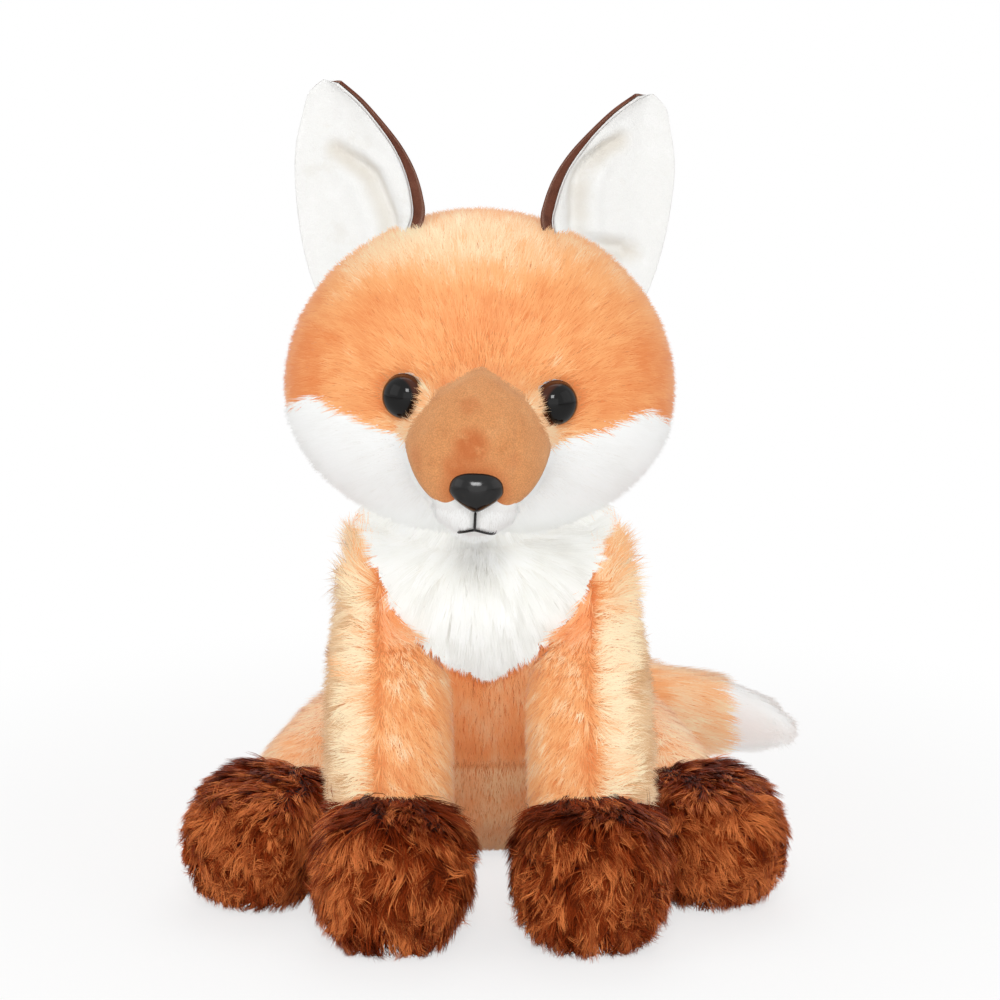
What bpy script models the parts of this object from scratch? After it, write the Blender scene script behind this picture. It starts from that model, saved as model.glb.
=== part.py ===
"""Seated plush fox, about 29 cm tall to its ear tips.

Sewn covers lie over fibre fillings, with moulded eyes and nose held by washers. The fox faces -Y, and its
own left side is at +X. The origin is on the floor, in the middle of the seat's flat. Lengths are in metres.
"""

import math

import bmesh
import bpy
from mathutils import Matrix, Vector
from mathutils.bvhtree import BVHTree

# Cloth and seams
cover_wall = 0.0030
seam_gap = 0.0003
weld_distance = 0.000004
cut_overrun = 0.0300
floor_squash = 0.0005

# Body, from the seat to the neck
body_height = 0.1310
body_front_reach = 0.0785
body_back_reach = 0.0620
body_half_width = 0.0520
body_bluntness = 5
# Rows of height, front, back and half width, each as a share of the size above
body_shares = [
    (0.00, 0.42, 0.52, 0.80),
    (0.15, 0.60, 0.90, 0.92),
    (0.34, 0.72, 1.00, 1.00),
    (0.57, 0.87, 0.81, 0.98),
    (0.76, 0.98, 0.46, 0.93),
    (0.92, 1.00, 0.13, 0.86),
    (1.00, 0.92, -0.08, 0.72),
]
# How square each row is, from 2 for an ellipse
body_squareness = (2.0, 2.0, 2.0, 2.1, 2.4, 2.7, 2.7)
belly_seam_height = 0.0410
belly_seam_front = -0.0600
belly_seam_back = 0.0420
bib_half_width = 0.0440
bib_point_height = 0.0840
bib_top_height = 0.1400
bib_back = -0.0420
# Half outline of the bib as shares of its half width and of its height above the point
bib_shares = [(0.00, 0.00), (0.24, 0.08), (0.46, 0.22), (0.68, 0.42), (0.86, 0.72), (1.00, 1.00)]

# Neck
neck_height = 0.1285
neck_front = -0.0400
neck_side_shift = -0.0044
neck_ball_radius = 0.0245

# Head, measured from its own middle
head_above_neck = 0.0535
head_before_neck = 0.0050
head_roll = math.radians(2.5)
head_half_width = 0.0695
head_rise = 0.0640
head_drop = 0.0530
head_front = 0.0520
head_back = 0.0560
muzzle_reach = 0.0270
muzzle_dip = math.radians(14.5)
muzzle_side_spread = math.radians(23.0)
muzzle_top_spread = math.radians(26.0)
muzzle_bottom_spread = math.radians(23.0)
muzzle_bluntness = 3.3
# How far apart the head's rings lie: evenly, and more towards the back
head_ring_shares = (0.72, 0.28)

# Face panels, from the middle of the head
bridge_top = 0.0165
bridge_half_width = 0.0250
bridge_bottom = -0.0290
bridge_back = -0.0300
# Half outline of the bridge as shares of its half width and of its top (above 0) or bottom (below 0)
bridge_shares = [(0.00, 1.00), (0.34, 0.60), (0.64, 0.18), (0.86, -0.10), (1.00, -0.30), (0.98, -0.46),
                 (0.84, -0.70), (0.62, -0.90), (0.44, -0.98), (0.00, -0.98)]
cheek_reach = 0.0900
cheek_height = 0.0110
cheek_back = 0.0120
cheek_floor = -0.0700
# Upper edge of the cheek as shares of its reach and of its height
cheek_shares = [(0.00, -0.91), (0.28, -0.95), (0.36, -0.82), (0.46, -0.50), (0.56, -0.18), (0.62, 0.00),
                (0.69, -0.41), (0.80, -1.20), (1.00, -1.80)]
chin_half_width = 0.0170
chin_back = -0.0300
# Half outline of the chin as shares of its half width and of the head's drop
chin_shares = [(0.00, -0.36), (0.94, -0.36), (1.00, -0.66), (0.60, -0.84), (0.00, -0.88)]

# Eyes and nose
eye_radius = 0.0075
eye_dome = 0.0058
eye_rim = 0.0004
eye_rim_depth = 0.0010
eye_sunk = 0.0016
eye_side = 0.0265
eye_height = 0.0037
eye_azimuth = math.radians(24.0)
nose_half_width = 0.0090
nose_half_height = 0.0071
nose_depth = 0.0055
nose_taper_share = 0.55
nose_height = -0.0220
nose_sink = 0.0030
shank_radius = 0.0022
shank_length = 0.0150
washer_radius = 0.0080
washer_thickness = 0.0016
washer_depth = 0.0042
fitting_gap = 0.0003

# Mouth
thread_radius = 0.0005
thread_lift = 0.0006
mouth_half_width = 0.0062
mouth_drop = 0.0012
mouth_height = -0.0368
mouth_top = -0.0312

# Ears, from the middle of the head
ear_thickness = 0.0015
ear_height = 0.1060
ear_reach = 0.0665
ear_side_shift = -0.0016
ear_depth = 0.0020
ear_cup = 0.0040
ear_turn = 0.0080
ear_root_gap = 0.0009
ear_wrap_share = 0.13
# Rows of inner side, inner height, outer side and outer height, as shares of ear_reach and ear_height
ear_shares = [
    (0.42, 0.45, 0.84, 0.26),
    (0.36, 0.56, 0.91, 0.37),
    (0.365, 0.63, 0.96, 0.49),
    (0.40, 0.71, 0.99, 0.62),
    (0.46, 0.785, 1.00, 0.745),
    (0.55, 0.86, 0.978, 0.85),
    (0.66, 0.935, 0.918, 0.945),
    (0.775, 0.992, 0.815, 0.996),
]

# Front legs
shoulder_side = 0.0350
shoulder_front = -0.0550
shoulder_height = 0.1120
shoulder_socket_radius = 0.0220
shoulder_plane = 0.0320
shoulder_end_inset = 0.0015
shoulder_end_radius = 0.0213
shoulder_end_tilt = math.radians(35.0)
chest_clear_radius = 0.0262
leg_top_back = 0.0090
leg_top_rise = 0.0180
leg_bluntness = (3.0, 4.0)
leg_half_widths = (0.0180, 0.0220, 0.0240, 0.0245)
leg_half_depths = (0.0160, 0.0195, 0.0210, 0.0200)
front_paw_side = 0.0340
front_paw_side_shift = 0.0022
front_paw_front = -0.1340
front_paw_length = 0.0600
front_paw_half_width = 0.0268
front_paw_height = 0.0545
front_paw_bluntness = (2.2, 2.9)

# Hind legs
hip_side = 0.0440
hip_back = 0.0050
hip_height = 0.0360
hip_socket_radius = 0.0300
thigh_back = 0.0230
thigh_side = 0.0080
thigh_middle_share = 1.4
thigh_bluntness = (2.4, 4.0)
thigh_half_widths = (0.0170, 0.0190, 0.0200, 0.0190)
thigh_half_heights = (0.0220, 0.0250, 0.0230, 0.0200)
hind_paw_side = 0.0785
hind_paw_front = -0.0920
hind_paw_length = 0.0620
hind_paw_half_width = 0.0265
hind_paw_height = 0.0490
hind_paw_splay = 0.0095
hind_paw_bluntness = (2.3, 2.5)

# Paws and their cuffs
paw_squareness = 2.5
cuff_share = 0.80
front_cuff_share = 0.60
hind_cuff_share = 1.70

# Tail
tail_root_back = 0.0520
tail_height = 0.0320
tail_ball_radius = 0.0145
tail_reach = 0.1210
tail_sweep = 0.0290
tail_bluntness = (2.6, 2.4)
tail_close_turn = math.radians(10.0)
# The tail's middle line between root and tip, as shares of its reach and sweep
tail_shares = [(0.10, 0.52), (0.27, 0.92), (0.52, 1.00), (0.78, 0.68)]
tail_radii = (0.0100, 0.0145, 0.0190, 0.0190, 0.0175)
tail_tip_drop = 0.0040
tail_tip_length = 0.0290

# Facets
body_facets = (20, 10)
head_facets = (24, 12)
leg_facets = (12, 6)
tail_facets = (12, 8)
ball_facets = (12, 7)
button_facets = 12
socket_facets = 16
ear_columns = 4
ear_rows = 6
# What lies inside a cover has fewer facets, as this share of the cover's
inner_facets_share = 0.6

colours = {
    "orange_plush": (0.80, 0.36, 0.13),
    "white_plush": (0.88, 0.87, 0.84),
    "dark_plush": (0.16, 0.035, 0.012),
    "brown_suede": (0.55, 0.24, 0.09),
    "tan_plush": (0.62, 0.28, 0.11),
    "white_velour": (0.88, 0.86, 0.83),
    "brown_velour": (0.14, 0.06, 0.035),
    "black_plastic": (0.008, 0.007, 0.007),
    "washer_plastic": (0.75, 0.75, 0.74),
    "black_thread": (0.012, 0.010, 0.010),
    "fibre": (0.85, 0.85, 0.84),
}
roughness = {"black_plastic": 0.08, "washer_plastic": 0.45}
cloth_roughness = 0.95

sides = {"left": 1, "right": -1}


def fewer(facets):
    return tuple(max(6, 2 * round(count * inner_facets_share / 2)) for count in facets)


def mesh_object(name, points, faces):
    """A mesh object with its faces pointing out."""
    shape = bmesh.new()
    corners = [shape.verts.new(point) for point in points]
    for face in faces:
        shape.faces.new([corners[k] for k in face])
    bmesh.ops.recalc_face_normals(shape, faces=shape.faces)
    mesh = bpy.data.meshes.new(name)
    shape.to_mesh(mesh)
    shape.free()
    thing = bpy.data.objects.new(name, mesh)
    bpy.context.scene.collection.objects.link(thing)
    return thing


def over_rings(name, start, rings, end):
    """A closed body over rings of points, with one point at each end."""
    count = len(rings[0])
    points = [start] + [point for ring in rings for point in ring] + [end]
    last = len(points) - 1 - count
    faces = []
    for k in range(count):
        after = (k + 1) % count
        faces.append((0, 1 + after, 1 + k))
        faces.append((last + k, last + after, len(points) - 1))
        for low in range(1, last, count):
            faces.append((low + k, low + after, low + count + after, low + count + k))
    return mesh_object(name, points, faces)


def smooth(rows, place):
    """The row at a place from 0 to 1 along a smooth curve through all rows."""
    last = len(rows) - 1
    start = min(int(place * last), last - 1)
    t = place * last - start
    a, b, c, d = (rows[min(max(start + k, 0), last)] for k in (-1, 0, 1, 2))
    return tuple(
        q + t * (r - p + t * (2 * p - 5 * q + 4 * r - s + t * (3 * q - p - 3 * r + s))) / 2
        for p, q, r, s in zip(a, b, c, d)
    )


def squared(angle, squareness):
    """A point at an angle on a ring of half size 1, an ellipse at 2 and squarer above it."""
    power = 2 / squareness
    return tuple(math.copysign(abs(side) ** power, side) for side in (math.cos(angle), math.sin(angle)))


def stuffed(name, spine, half_widths, half_heights, side, facets, blunt=(3.0, 3.0), squareness=2.0):
    """A stuffed form round a spine: half widths lie along side, half heights square to it."""
    segments, ring_count = facets
    places = [(1 - math.cos(math.pi * k / (ring_count + 1))) / 2 for k in range(1, ring_count + 1)]
    step = 1 / (4 * ring_count)
    rings = []
    for place in places:
        middle = Vector(smooth(spine, place))
        ahead = Vector(smooth(spine, min(place + step, 1))) - Vector(smooth(spine, max(place - step, 0)))
        ahead.normalize()
        up = ahead.cross(side).normalized()
        out = up.cross(ahead).normalized()
        power = blunt[0] if place < 0.5 else blunt[1]
        rounding = (1 - abs(2 * place - 1) ** power) ** (1 / power)
        half_width = smooth([(w,) for w in half_widths], place)[0] * rounding
        half_height = smooth([(h,) for h in half_heights], place)[0] * rounding
        ring = []
        for k in range(segments):
            across, along = squared(2 * math.pi * (k + 0.5) / segments, squareness)
            ring.append(middle + out * half_width * across + up * half_height * along)
        rings.append(ring)
    return over_rings(name, Vector(spine[0]), rings, Vector(spine[-1]))


def body_form(name, facets):
    """The body as level rings, flat-bottomed, leaning back from the chest to the rump."""
    segments, ring_count = facets
    rings = []
    for k in range(1, ring_count + 1):
        place = (1 - math.cos(math.pi * k / (ring_count + 1))) / 2
        height, front, back, width = smooth(body_shares, place)
        squareness = smooth([(n,) for n in body_squareness], place)[0]
        rounding = (1 - abs(2 * place - 1) ** body_bluntness) ** (1 / body_bluntness)
        front_y = -front * body_front_reach
        back_y = back * body_back_reach
        middle = (front_y + back_y) / 2
        half_depth = (back_y - front_y) / 2 * rounding
        half_width = width * body_half_width * rounding
        level = height * (body_height + floor_squash) - floor_squash
        ring = []
        for j in range(segments):
            across, along = squared(2 * math.pi * (j + 0.5) / segments, squareness)
            ring.append(Vector((half_width * across, middle + half_depth * along, level)))
        rings.append(ring)
    low_middle = (body_shares[0][2] * body_back_reach - body_shares[0][1] * body_front_reach) / 2
    top_middle = (body_shares[-1][2] * body_back_reach - body_shares[-1][1] * body_front_reach) / 2
    foot = Vector((0, low_middle, -floor_squash))
    return over_rings(name, foot, rings, Vector((0, top_middle, body_height)))


def head_point(direction):
    """The head's surface along a direction from its middle: a rounded loaf and its muzzle."""
    depth = head_front if direction.y < 0 else head_back
    height = head_rise if direction.z > 0 else head_drop
    loaf = 1 / math.sqrt(
        (direction.x / head_half_width) ** 2 + (direction.y / depth) ** 2 + (direction.z / height) ** 2
    )
    axis = Vector((0, -math.cos(muzzle_dip), -math.sin(muzzle_dip)))
    above = Vector((0, -math.sin(muzzle_dip), math.cos(muzzle_dip)))
    ahead = direction.dot(axis)
    if ahead <= 0:
        return direction * loaf
    rise = direction.dot(above) / ahead
    spread = muzzle_top_spread if rise > 0 else muzzle_bottom_spread
    away = math.hypot(direction.x / ahead / math.tan(muzzle_side_spread), rise / math.tan(spread))
    return direction * (loaf + muzzle_reach * math.exp(-(away ** muzzle_bluntness)))


def head_form(name, facets):
    """The head's rings lie round the muzzle's axis, closest together at the muzzle."""
    segments, ring_count = facets
    axis = Vector((0, -math.cos(muzzle_dip), -math.sin(muzzle_dip)))
    above = Vector((0, -math.sin(muzzle_dip), math.cos(muzzle_dip)))
    rings = []
    for k in range(1, ring_count + 1):
        share = k / (ring_count + 1)
        polar = math.pi * (head_ring_shares[0] * share + head_ring_shares[1] * share**2)
        ring = []
        for j in range(segments):
            angle = 2 * math.pi * (j + 0.5) / segments
            sideways = Vector((1, 0, 0)) * math.cos(angle) + above * math.sin(angle)
            ring.append(head_point(axis * math.cos(polar) + sideways * math.sin(polar)))
        rings.append(ring)
    return over_rings(name, head_point(axis), rings, head_point(-axis))


def grown(form, name, distance):
    """A copy of a form with its surface moved out by a distance, or in where it is below 0."""
    points = [vertex.co + vertex.normal * distance for vertex in form.data.vertices]
    faces = [tuple(face.vertices) for face in form.data.polygons]
    return mesh_object(name, points, faces)


def copied(thing, name):
    twin = thing.copy()
    twin.data = thing.data.copy()
    twin.name = name
    bpy.context.scene.collection.objects.link(twin)
    return twin


def remove(*things):
    for thing in things:
        bpy.data.objects.remove(thing)


def carve(thing, tool, operation="DIFFERENCE"):
    """Changes thing by an exact Boolean with a tool, which stays as it is."""
    modifier = thing.modifiers.new("carve", "BOOLEAN")
    modifier.operation = operation
    modifier.object = tool
    modifier.solver = "EXACT"
    evaluated = thing.evaluated_get(bpy.context.evaluated_depsgraph_get())
    mesh = bpy.data.meshes.new_from_object(evaluated)
    thing.modifiers.clear()
    for reach in (weld_distance, 0):
        shape = bmesh.new()
        shape.from_mesh(mesh)
        bmesh.ops.triangulate(shape, faces=shape.faces)
        if reach:
            bmesh.ops.remove_doubles(shape, verts=shape.verts, dist=reach)
            bmesh.ops.dissolve_degenerate(shape, edges=shape.edges, dist=reach)
            bmesh.ops.triangulate(shape, faces=shape.faces)
        if all(edge.is_manifold for edge in shape.edges):
            break
    shape.to_mesh(mesh)
    shape.free()
    thing.data = mesh
    return thing


def shell(form, inner_form, name, wall):
    """A cover over a form: its outer surface, and inside it the plainer inner form set in by the wall."""
    cover = copied(form, name)
    inside = grown(inner_form, "inside", -wall)
    carve(cover, inside)
    remove(inside)
    return cover


def slab(name, low, high):
    """A box between two corners."""
    xs, ys, zs = zip(low, high)
    points = [Vector((x, y, z)) for x in xs for y in ys for z in zs]
    faces = [(0, 1, 3, 2), (4, 5, 7, 6), (0, 1, 5, 4), (2, 3, 7, 6), (0, 2, 6, 4), (1, 3, 7, 5)]
    return mesh_object(name, points, faces)


def outline_grown(outline, distance):
    """An outline of x and z moved out by a distance at every corner."""
    area = sum(a[0] * b[1] - b[0] * a[1] for a, b in zip(outline, outline[1:] + outline[:1]))
    turn = math.copysign(1, area)
    moved = []
    for k, (x, z) in enumerate(outline):
        before = Vector(outline[k - 1])
        after = Vector(outline[(k + 1) % len(outline)])
        along_in = (Vector((x, z)) - before).normalized()
        along_out = (after - Vector((x, z))).normalized()
        normal_in = Vector((along_in.y, -along_in.x)) * turn
        normal_out = Vector((along_out.y, -along_out.x)) * turn
        middle = (normal_in + normal_out).normalized()
        reach = distance / max(middle.dot(normal_in), 0.5)
        moved.append((x + middle.x * reach, z + middle.y * reach))
    return moved


def prism(name, outline, front, back):
    """An outline of x and z drawn out along Y from front to back."""
    count = len(outline)
    points = [Vector((x, y, z)) for y in (front, back) for x, z in outline]
    faces = [tuple(range(count)), tuple(range(count, 2 * count))]
    faces += [(k, (k + 1) % count, count + (k + 1) % count, count + k) for k in range(count)]
    return mesh_object(name, points, faces)


def both_halves(half):
    """A whole outline from its right half, which starts and ends on the middle line."""
    return half + [(-x, z) for x, z in reversed(half) if x > 0]


def turned(name, profile, place, axis):
    """A body turned round an axis: the profile holds radius and height, from one end to the other."""
    turn = Vector((0, 0, 1)).rotation_difference(axis)
    rings = []
    for radius, height in profile[1:-1]:
        ring = []
        for k in range(button_facets):
            angle = 2 * math.pi * k / button_facets
            ring.append(place + turn @ Vector((radius * math.cos(angle), radius * math.sin(angle), height)))
        rings.append(ring)
    start = place + turn @ Vector((0, 0, profile[0][1]))
    end = place + turn @ Vector((0, 0, profile[-1][1]))
    return over_rings(name, start, rings, end)


def rod(name, radius, start, end, facets=button_facets, around=False):
    """A round bar between two points. One around another has its flats where the other's corners turn."""
    axis = (end - start).normalized()
    turn = Vector((0, 0, 1)).rotation_difference(axis)
    if around:
        radius /= math.cos(math.pi / facets)
    rings = []
    for middle in (start, end):
        ring = []
        for k in range(facets):
            angle = 2 * math.pi * (k + 0.5 * around) / facets
            ring.append(middle + turn @ Vector((radius * math.cos(angle), radius * math.sin(angle), 0)))
        rings.append(ring)
    return over_rings(name, start, rings, end)


def ball(name, middle, radius, around=False):
    """A ball with its poles on the X axis, its flats clear of the corners of one that turns inside."""
    segments, ring_count = ball_facets
    if around:
        radius /= math.cos(math.pi / segments) * math.cos(math.pi / (2 * ring_count + 2))
    rings = []
    for k in range(1, ring_count + 1):
        polar = math.pi * k / (ring_count + 1)
        ring = []
        for j in range(segments):
            angle = 2 * math.pi * (j + 0.5 * around) / segments
            across = Vector((0, math.cos(angle), math.sin(angle))) * math.sin(polar)
            ring.append(middle + (Vector((1, 0, 0)) * math.cos(polar) + across) * radius)
        rings.append(ring)
    pole = Vector((radius, 0, 0))
    return over_rings(name, middle + pole, rings, middle - pole)


def make_materials():
    materials = {}
    for slot, colour in colours.items():
        material = bpy.data.materials.new(slot)
        material.use_nodes = True
        shader = material.node_tree.nodes["Principled BSDF"]
        shader.inputs["Base Color"].default_value = (*colour, 1)
        shader.inputs["Roughness"].default_value = roughness.get(slot, cloth_roughness)
        shader.inputs["Metallic"].default_value = 0
        materials[slot] = material
    return materials


def make_pivots():
    """An empty on each joint, one inside another as the body, neck, head and ears are."""
    places = {
        "neck_pivot": (neck_middle, None),
        "head_pivot": (neck_middle, "neck_pivot"),
        "tail_pivot": (tail_root, None),
    }
    for side in sides:
        places[f"ear_pivot_{side}"] = (ear_root(side)[0], "head_pivot")
        places[f"shoulder_pivot_{side}"] = (shoulder(side), None)
        places[f"hip_pivot_{side}"] = (hip(side), None)
    pivots = {}
    for name, (place, parent) in places.items():
        pivot = bpy.data.objects.new(name, None)
        bpy.context.scene.collection.objects.link(pivot)
        pivot.location = place
        if parent:
            pivot.parent = pivots[parent]
            pivot.location = place - places[parent][0]
        pivots[name] = pivot
    return pivots, {name: place for name, (place, parent) in places.items()}


def finish(thing, slot, pivot=None):
    """Gives a piece its material and hangs it on its pivot."""
    thing.data.materials.clear()
    thing.data.materials.append(materials[slot])
    for face in thing.data.polygons:
        face.material_index = 0
        face.use_smooth = True
    thing.data.set_sharp_from_angle(angle=smooth_angle)
    if pivot:
        thing.data.transform(Matrix.Translation(-pivot_places[pivot]))
        thing.parent = pivots[pivot]


# Places worked out from the sizes
smooth_angle = math.radians(35)
neck_middle = Vector((neck_side_shift, neck_front, neck_height))
head_middle = Vector((neck_side_shift, neck_front - head_before_neck, neck_height + head_above_neck))
head_place = (
    Matrix.Translation(neck_middle)
    @ Matrix.Rotation(head_roll, 4, "Y")
    @ Matrix.Translation(head_middle - neck_middle)
)
neck_in_head = neck_middle - head_middle
tail_root = Vector((0, tail_root_back, tail_height))


def shoulder(side):
    return Vector((sides[side] * shoulder_side, shoulder_front, shoulder_height))


def hip(side):
    return Vector((sides[side] * hip_side, hip_back, hip_height))


def ear_middle(sign, row, across):
    """A point of the ear's middle sheet: row 0 at the root, 1 at the tip, across -1 inside, 1 outside."""
    inner_x, inner_z, outer_x, outer_z = smooth(ear_shares, row)
    share = (across + 1) / 2
    x = (inner_x + (outer_x - inner_x) * share) * ear_reach
    z = (inner_z + (outer_z - inner_z) * share) * ear_height
    flatter = 1 - row / 2
    y = ear_depth + (ear_turn * across - ear_cup * across**2) * flatter
    return Vector((sign * x + ear_side_shift, y, z))


def ear_root(side):
    """A point on the ear's flexing line and the line's direction, in the object's frame."""
    sign = sides[side]
    row = 1 / (len(ear_shares) - 1)
    inner = head_place @ ear_middle(sign, row, -1)
    outer = head_place @ ear_middle(sign, row, 1)
    back = head_place @ ear_middle(sign, row, 0)
    middle = (inner + outer) / 2
    return (middle + back) / 2, (outer - inner).normalized() * sign


def ear_sheet(name, sign, low, high, wrap):
    """One cloth of the ear, between two distances behind its middle sheet, wrapping past the inner edge."""
    places = [-1 - wrap] if wrap else []
    places += [-1 + 2 * c / ear_columns for c in range(ear_columns + 1)]
    grid = [[ear_middle(sign, r / ear_rows, across) for across in places] for r in range(ear_rows + 1)]
    last = len(places) - 1
    fronts, backs = [], []
    for r, line in enumerate(grid):
        for c, point in enumerate(line):
            sideways = line[min(c + 1, last)] - line[max(c - 1, 0)]
            upward = grid[min(r + 1, ear_rows)][c] - grid[max(r - 1, 0)][c]
            behind = sideways.cross(upward).normalized()
            behind *= math.copysign(1, behind.y)
            fronts.append(point + behind * low)
            backs.append(point + behind * high)
    width = len(places)
    total = len(fronts)
    faces = []
    for r in range(ear_rows):
        for c in range(last):
            k = r * width + c
            faces.append((k, k + 1, k + width + 1, k + width))
            faces.append((total + k, total + k + 1, total + k + width + 1, total + k + width))
    edge = list(range(width))
    edge += [r * width + last for r in range(1, ear_rows + 1)]
    edge += [ear_rows * width + c for c in range(last - 1, -1, -1)]
    edge += [r * width for r in range(ear_rows - 1, 0, -1)]
    for a, b in zip(edge, edge[1:] + edge[:1]):
        faces.append((a, b, total + b, total + a))
    return mesh_object(name, fronts + backs, faces)


def make_ears(head):
    """Two cloths for each ear, sewn into the head and flexing along their root."""
    around_head = grown(head, "around_head", ear_root_gap)
    half_gap = seam_gap / 2
    for side, sign in sides.items():
        lining = ear_sheet(f"ear_lining_{side}", sign, -half_gap - ear_thickness, -half_gap, 0)
        back = ear_sheet(f"ear_back_{side}", sign, half_gap, half_gap + ear_thickness, ear_wrap_share)
        for sheet, slot in ((lining, "white_velour"), (back, "brown_velour")):
            carve(sheet, around_head)
            sheet.data.transform(head_place)
            finish(sheet, slot, f"ear_pivot_{side}")
    remove(around_head)


def button(name, profile, place, axis):
    """A moulded piece and, round it, the room that the cloth and the filling leave it."""
    piece = turned(name, profile, place, axis)
    room = grown(piece, "room", fitting_gap)
    return piece, room


def washer(name, place, axis):
    """A locking washer round a shank, under the cloth, and the room that the filling leaves it."""
    top = -washer_depth
    low = top - washer_thickness
    disc = turned(name, [(0, top), (washer_radius, top), (washer_radius, low), (0, low)], place, axis)
    room = grown(disc, "room", fitting_gap)
    bore_radius = shank_radius + fitting_gap
    bore = rod("bore", bore_radius, place, place - axis * shank_length)
    carve(disc, bore)
    remove(bore)
    return disc, room


def make_buttons(head, crown, muzzle_covers, filling):
    """Eyes and nose on the head's surface, their washers inside, and holes for all of them."""
    pieces = []
    tree = BVHTree.FromObject(head, bpy.context.evaluated_depsgraph_get())
    eye_profile = [(0, eye_dome - eye_sunk)]
    dome_steps = 4
    for k in range(1, dome_steps + 1):
        angle = math.pi / 2 * k / dome_steps
        eye_profile.append((eye_radius * math.sin(angle), eye_dome * math.cos(angle) - eye_sunk))
    eye_profile += [
        (eye_radius + eye_rim, -eye_sunk - eye_rim),
        (eye_radius + eye_rim, -eye_sunk - eye_rim_depth),
        (shank_radius, -eye_sunk - eye_rim_depth),
        (shank_radius, -shank_length),
        (0, -shank_length),
    ]
    for side, sign in sides.items():
        axis = Vector((sign * math.sin(eye_azimuth), -math.cos(eye_azimuth), 0))
        start = Vector((sign * eye_side, -head_back - muzzle_reach, eye_height))
        place = tree.ray_cast(start, Vector((0, 1, 0)))[0]
        eye, room = button(f"eye_{side}", eye_profile, place, axis)
        disc, disc_room = washer(f"eye_washer_{side}", place, axis)
        for target in (crown, filling):
            carve(target, room)
            carve(target, disc_room)
        remove(room, disc_room)
        pieces.append((eye, "black_plastic"))
        pieces.append((disc, "washer_plastic"))
    axis = Vector((0, -1, 0))
    start = Vector((0, -head_back - 2 * muzzle_reach, nose_height))
    place = tree.ray_cast(start, Vector((0, 1, 0)))[0]
    nose = ball("nose", Vector((0, 0, 0)), 1)
    for vertex in nose.data.vertices:
        x, y, z = vertex.co
        narrowing = 1 - nose_taper_share * max(0, -z) ** 1.5
        vertex.co = place + Vector(
            (x * nose_half_width * narrowing, y * nose_depth, z * nose_half_height)
        )
    shank = rod("shank", shank_radius, place, place - axis * shank_length)
    room = grown(nose, "room", fitting_gap)
    shank_room = grown(shank, "room", fitting_gap)
    carve(nose, shank, "UNION")
    disc, disc_room = washer("nose_washer", place - axis * nose_sink, axis)
    for target in (*muzzle_covers, filling):
        for tool in (room, shank_room, disc_room):
            carve(target, tool)
    remove(shank, room, shank_room, disc_room)
    pieces.append((nose, "black_plastic"))
    pieces.append((disc, "washer_plastic"))
    return pieces


def make_mouth(head):
    """A sewn mouth: one stitch down from the nose and a shallow curve, lying on the chin."""
    tree = BVHTree.FromObject(head, bpy.context.evaluated_depsgraph_get())

    def on_chin(x, z):
        hit, normal = tree.ray_cast(Vector((x, -head_back - 2 * muzzle_reach, z)), Vector((0, 1, 0)))[:2]
        return hit + normal * (thread_radius + thread_lift)

    steps = 4
    curve = []
    for k in range(-steps, steps + 1):
        share = k / steps
        curve.append(on_chin(share * mouth_half_width, mouth_height - mouth_drop * abs(share) ** 1.5))
    down = [on_chin(0, mouth_top + (mouth_height - mouth_top) * k / 4) for k in range(5)]
    mouth = thread("mouth_stitching", curve)
    stitch = thread("stitch", down)
    carve(mouth, stitch, "UNION")
    remove(stitch)
    return mouth


def thread(name, points):
    """A round thread along points, six-sided."""
    rings = []
    for k, point in enumerate(points):
        ahead = (points[min(k + 1, len(points) - 1)] - points[max(k - 1, 0)]).normalized()
        up = ahead.cross(Vector((0, 1, 0))).normalized()
        out = up.cross(ahead).normalized()
        ring = []
        for j in range(6):
            angle = math.pi * j / 3
            ring.append(point + (up * math.cos(angle) + out * math.sin(angle)) * thread_radius)
        rings.append(ring)
    return over_rings(name, points[0], rings, points[-1])


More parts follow.
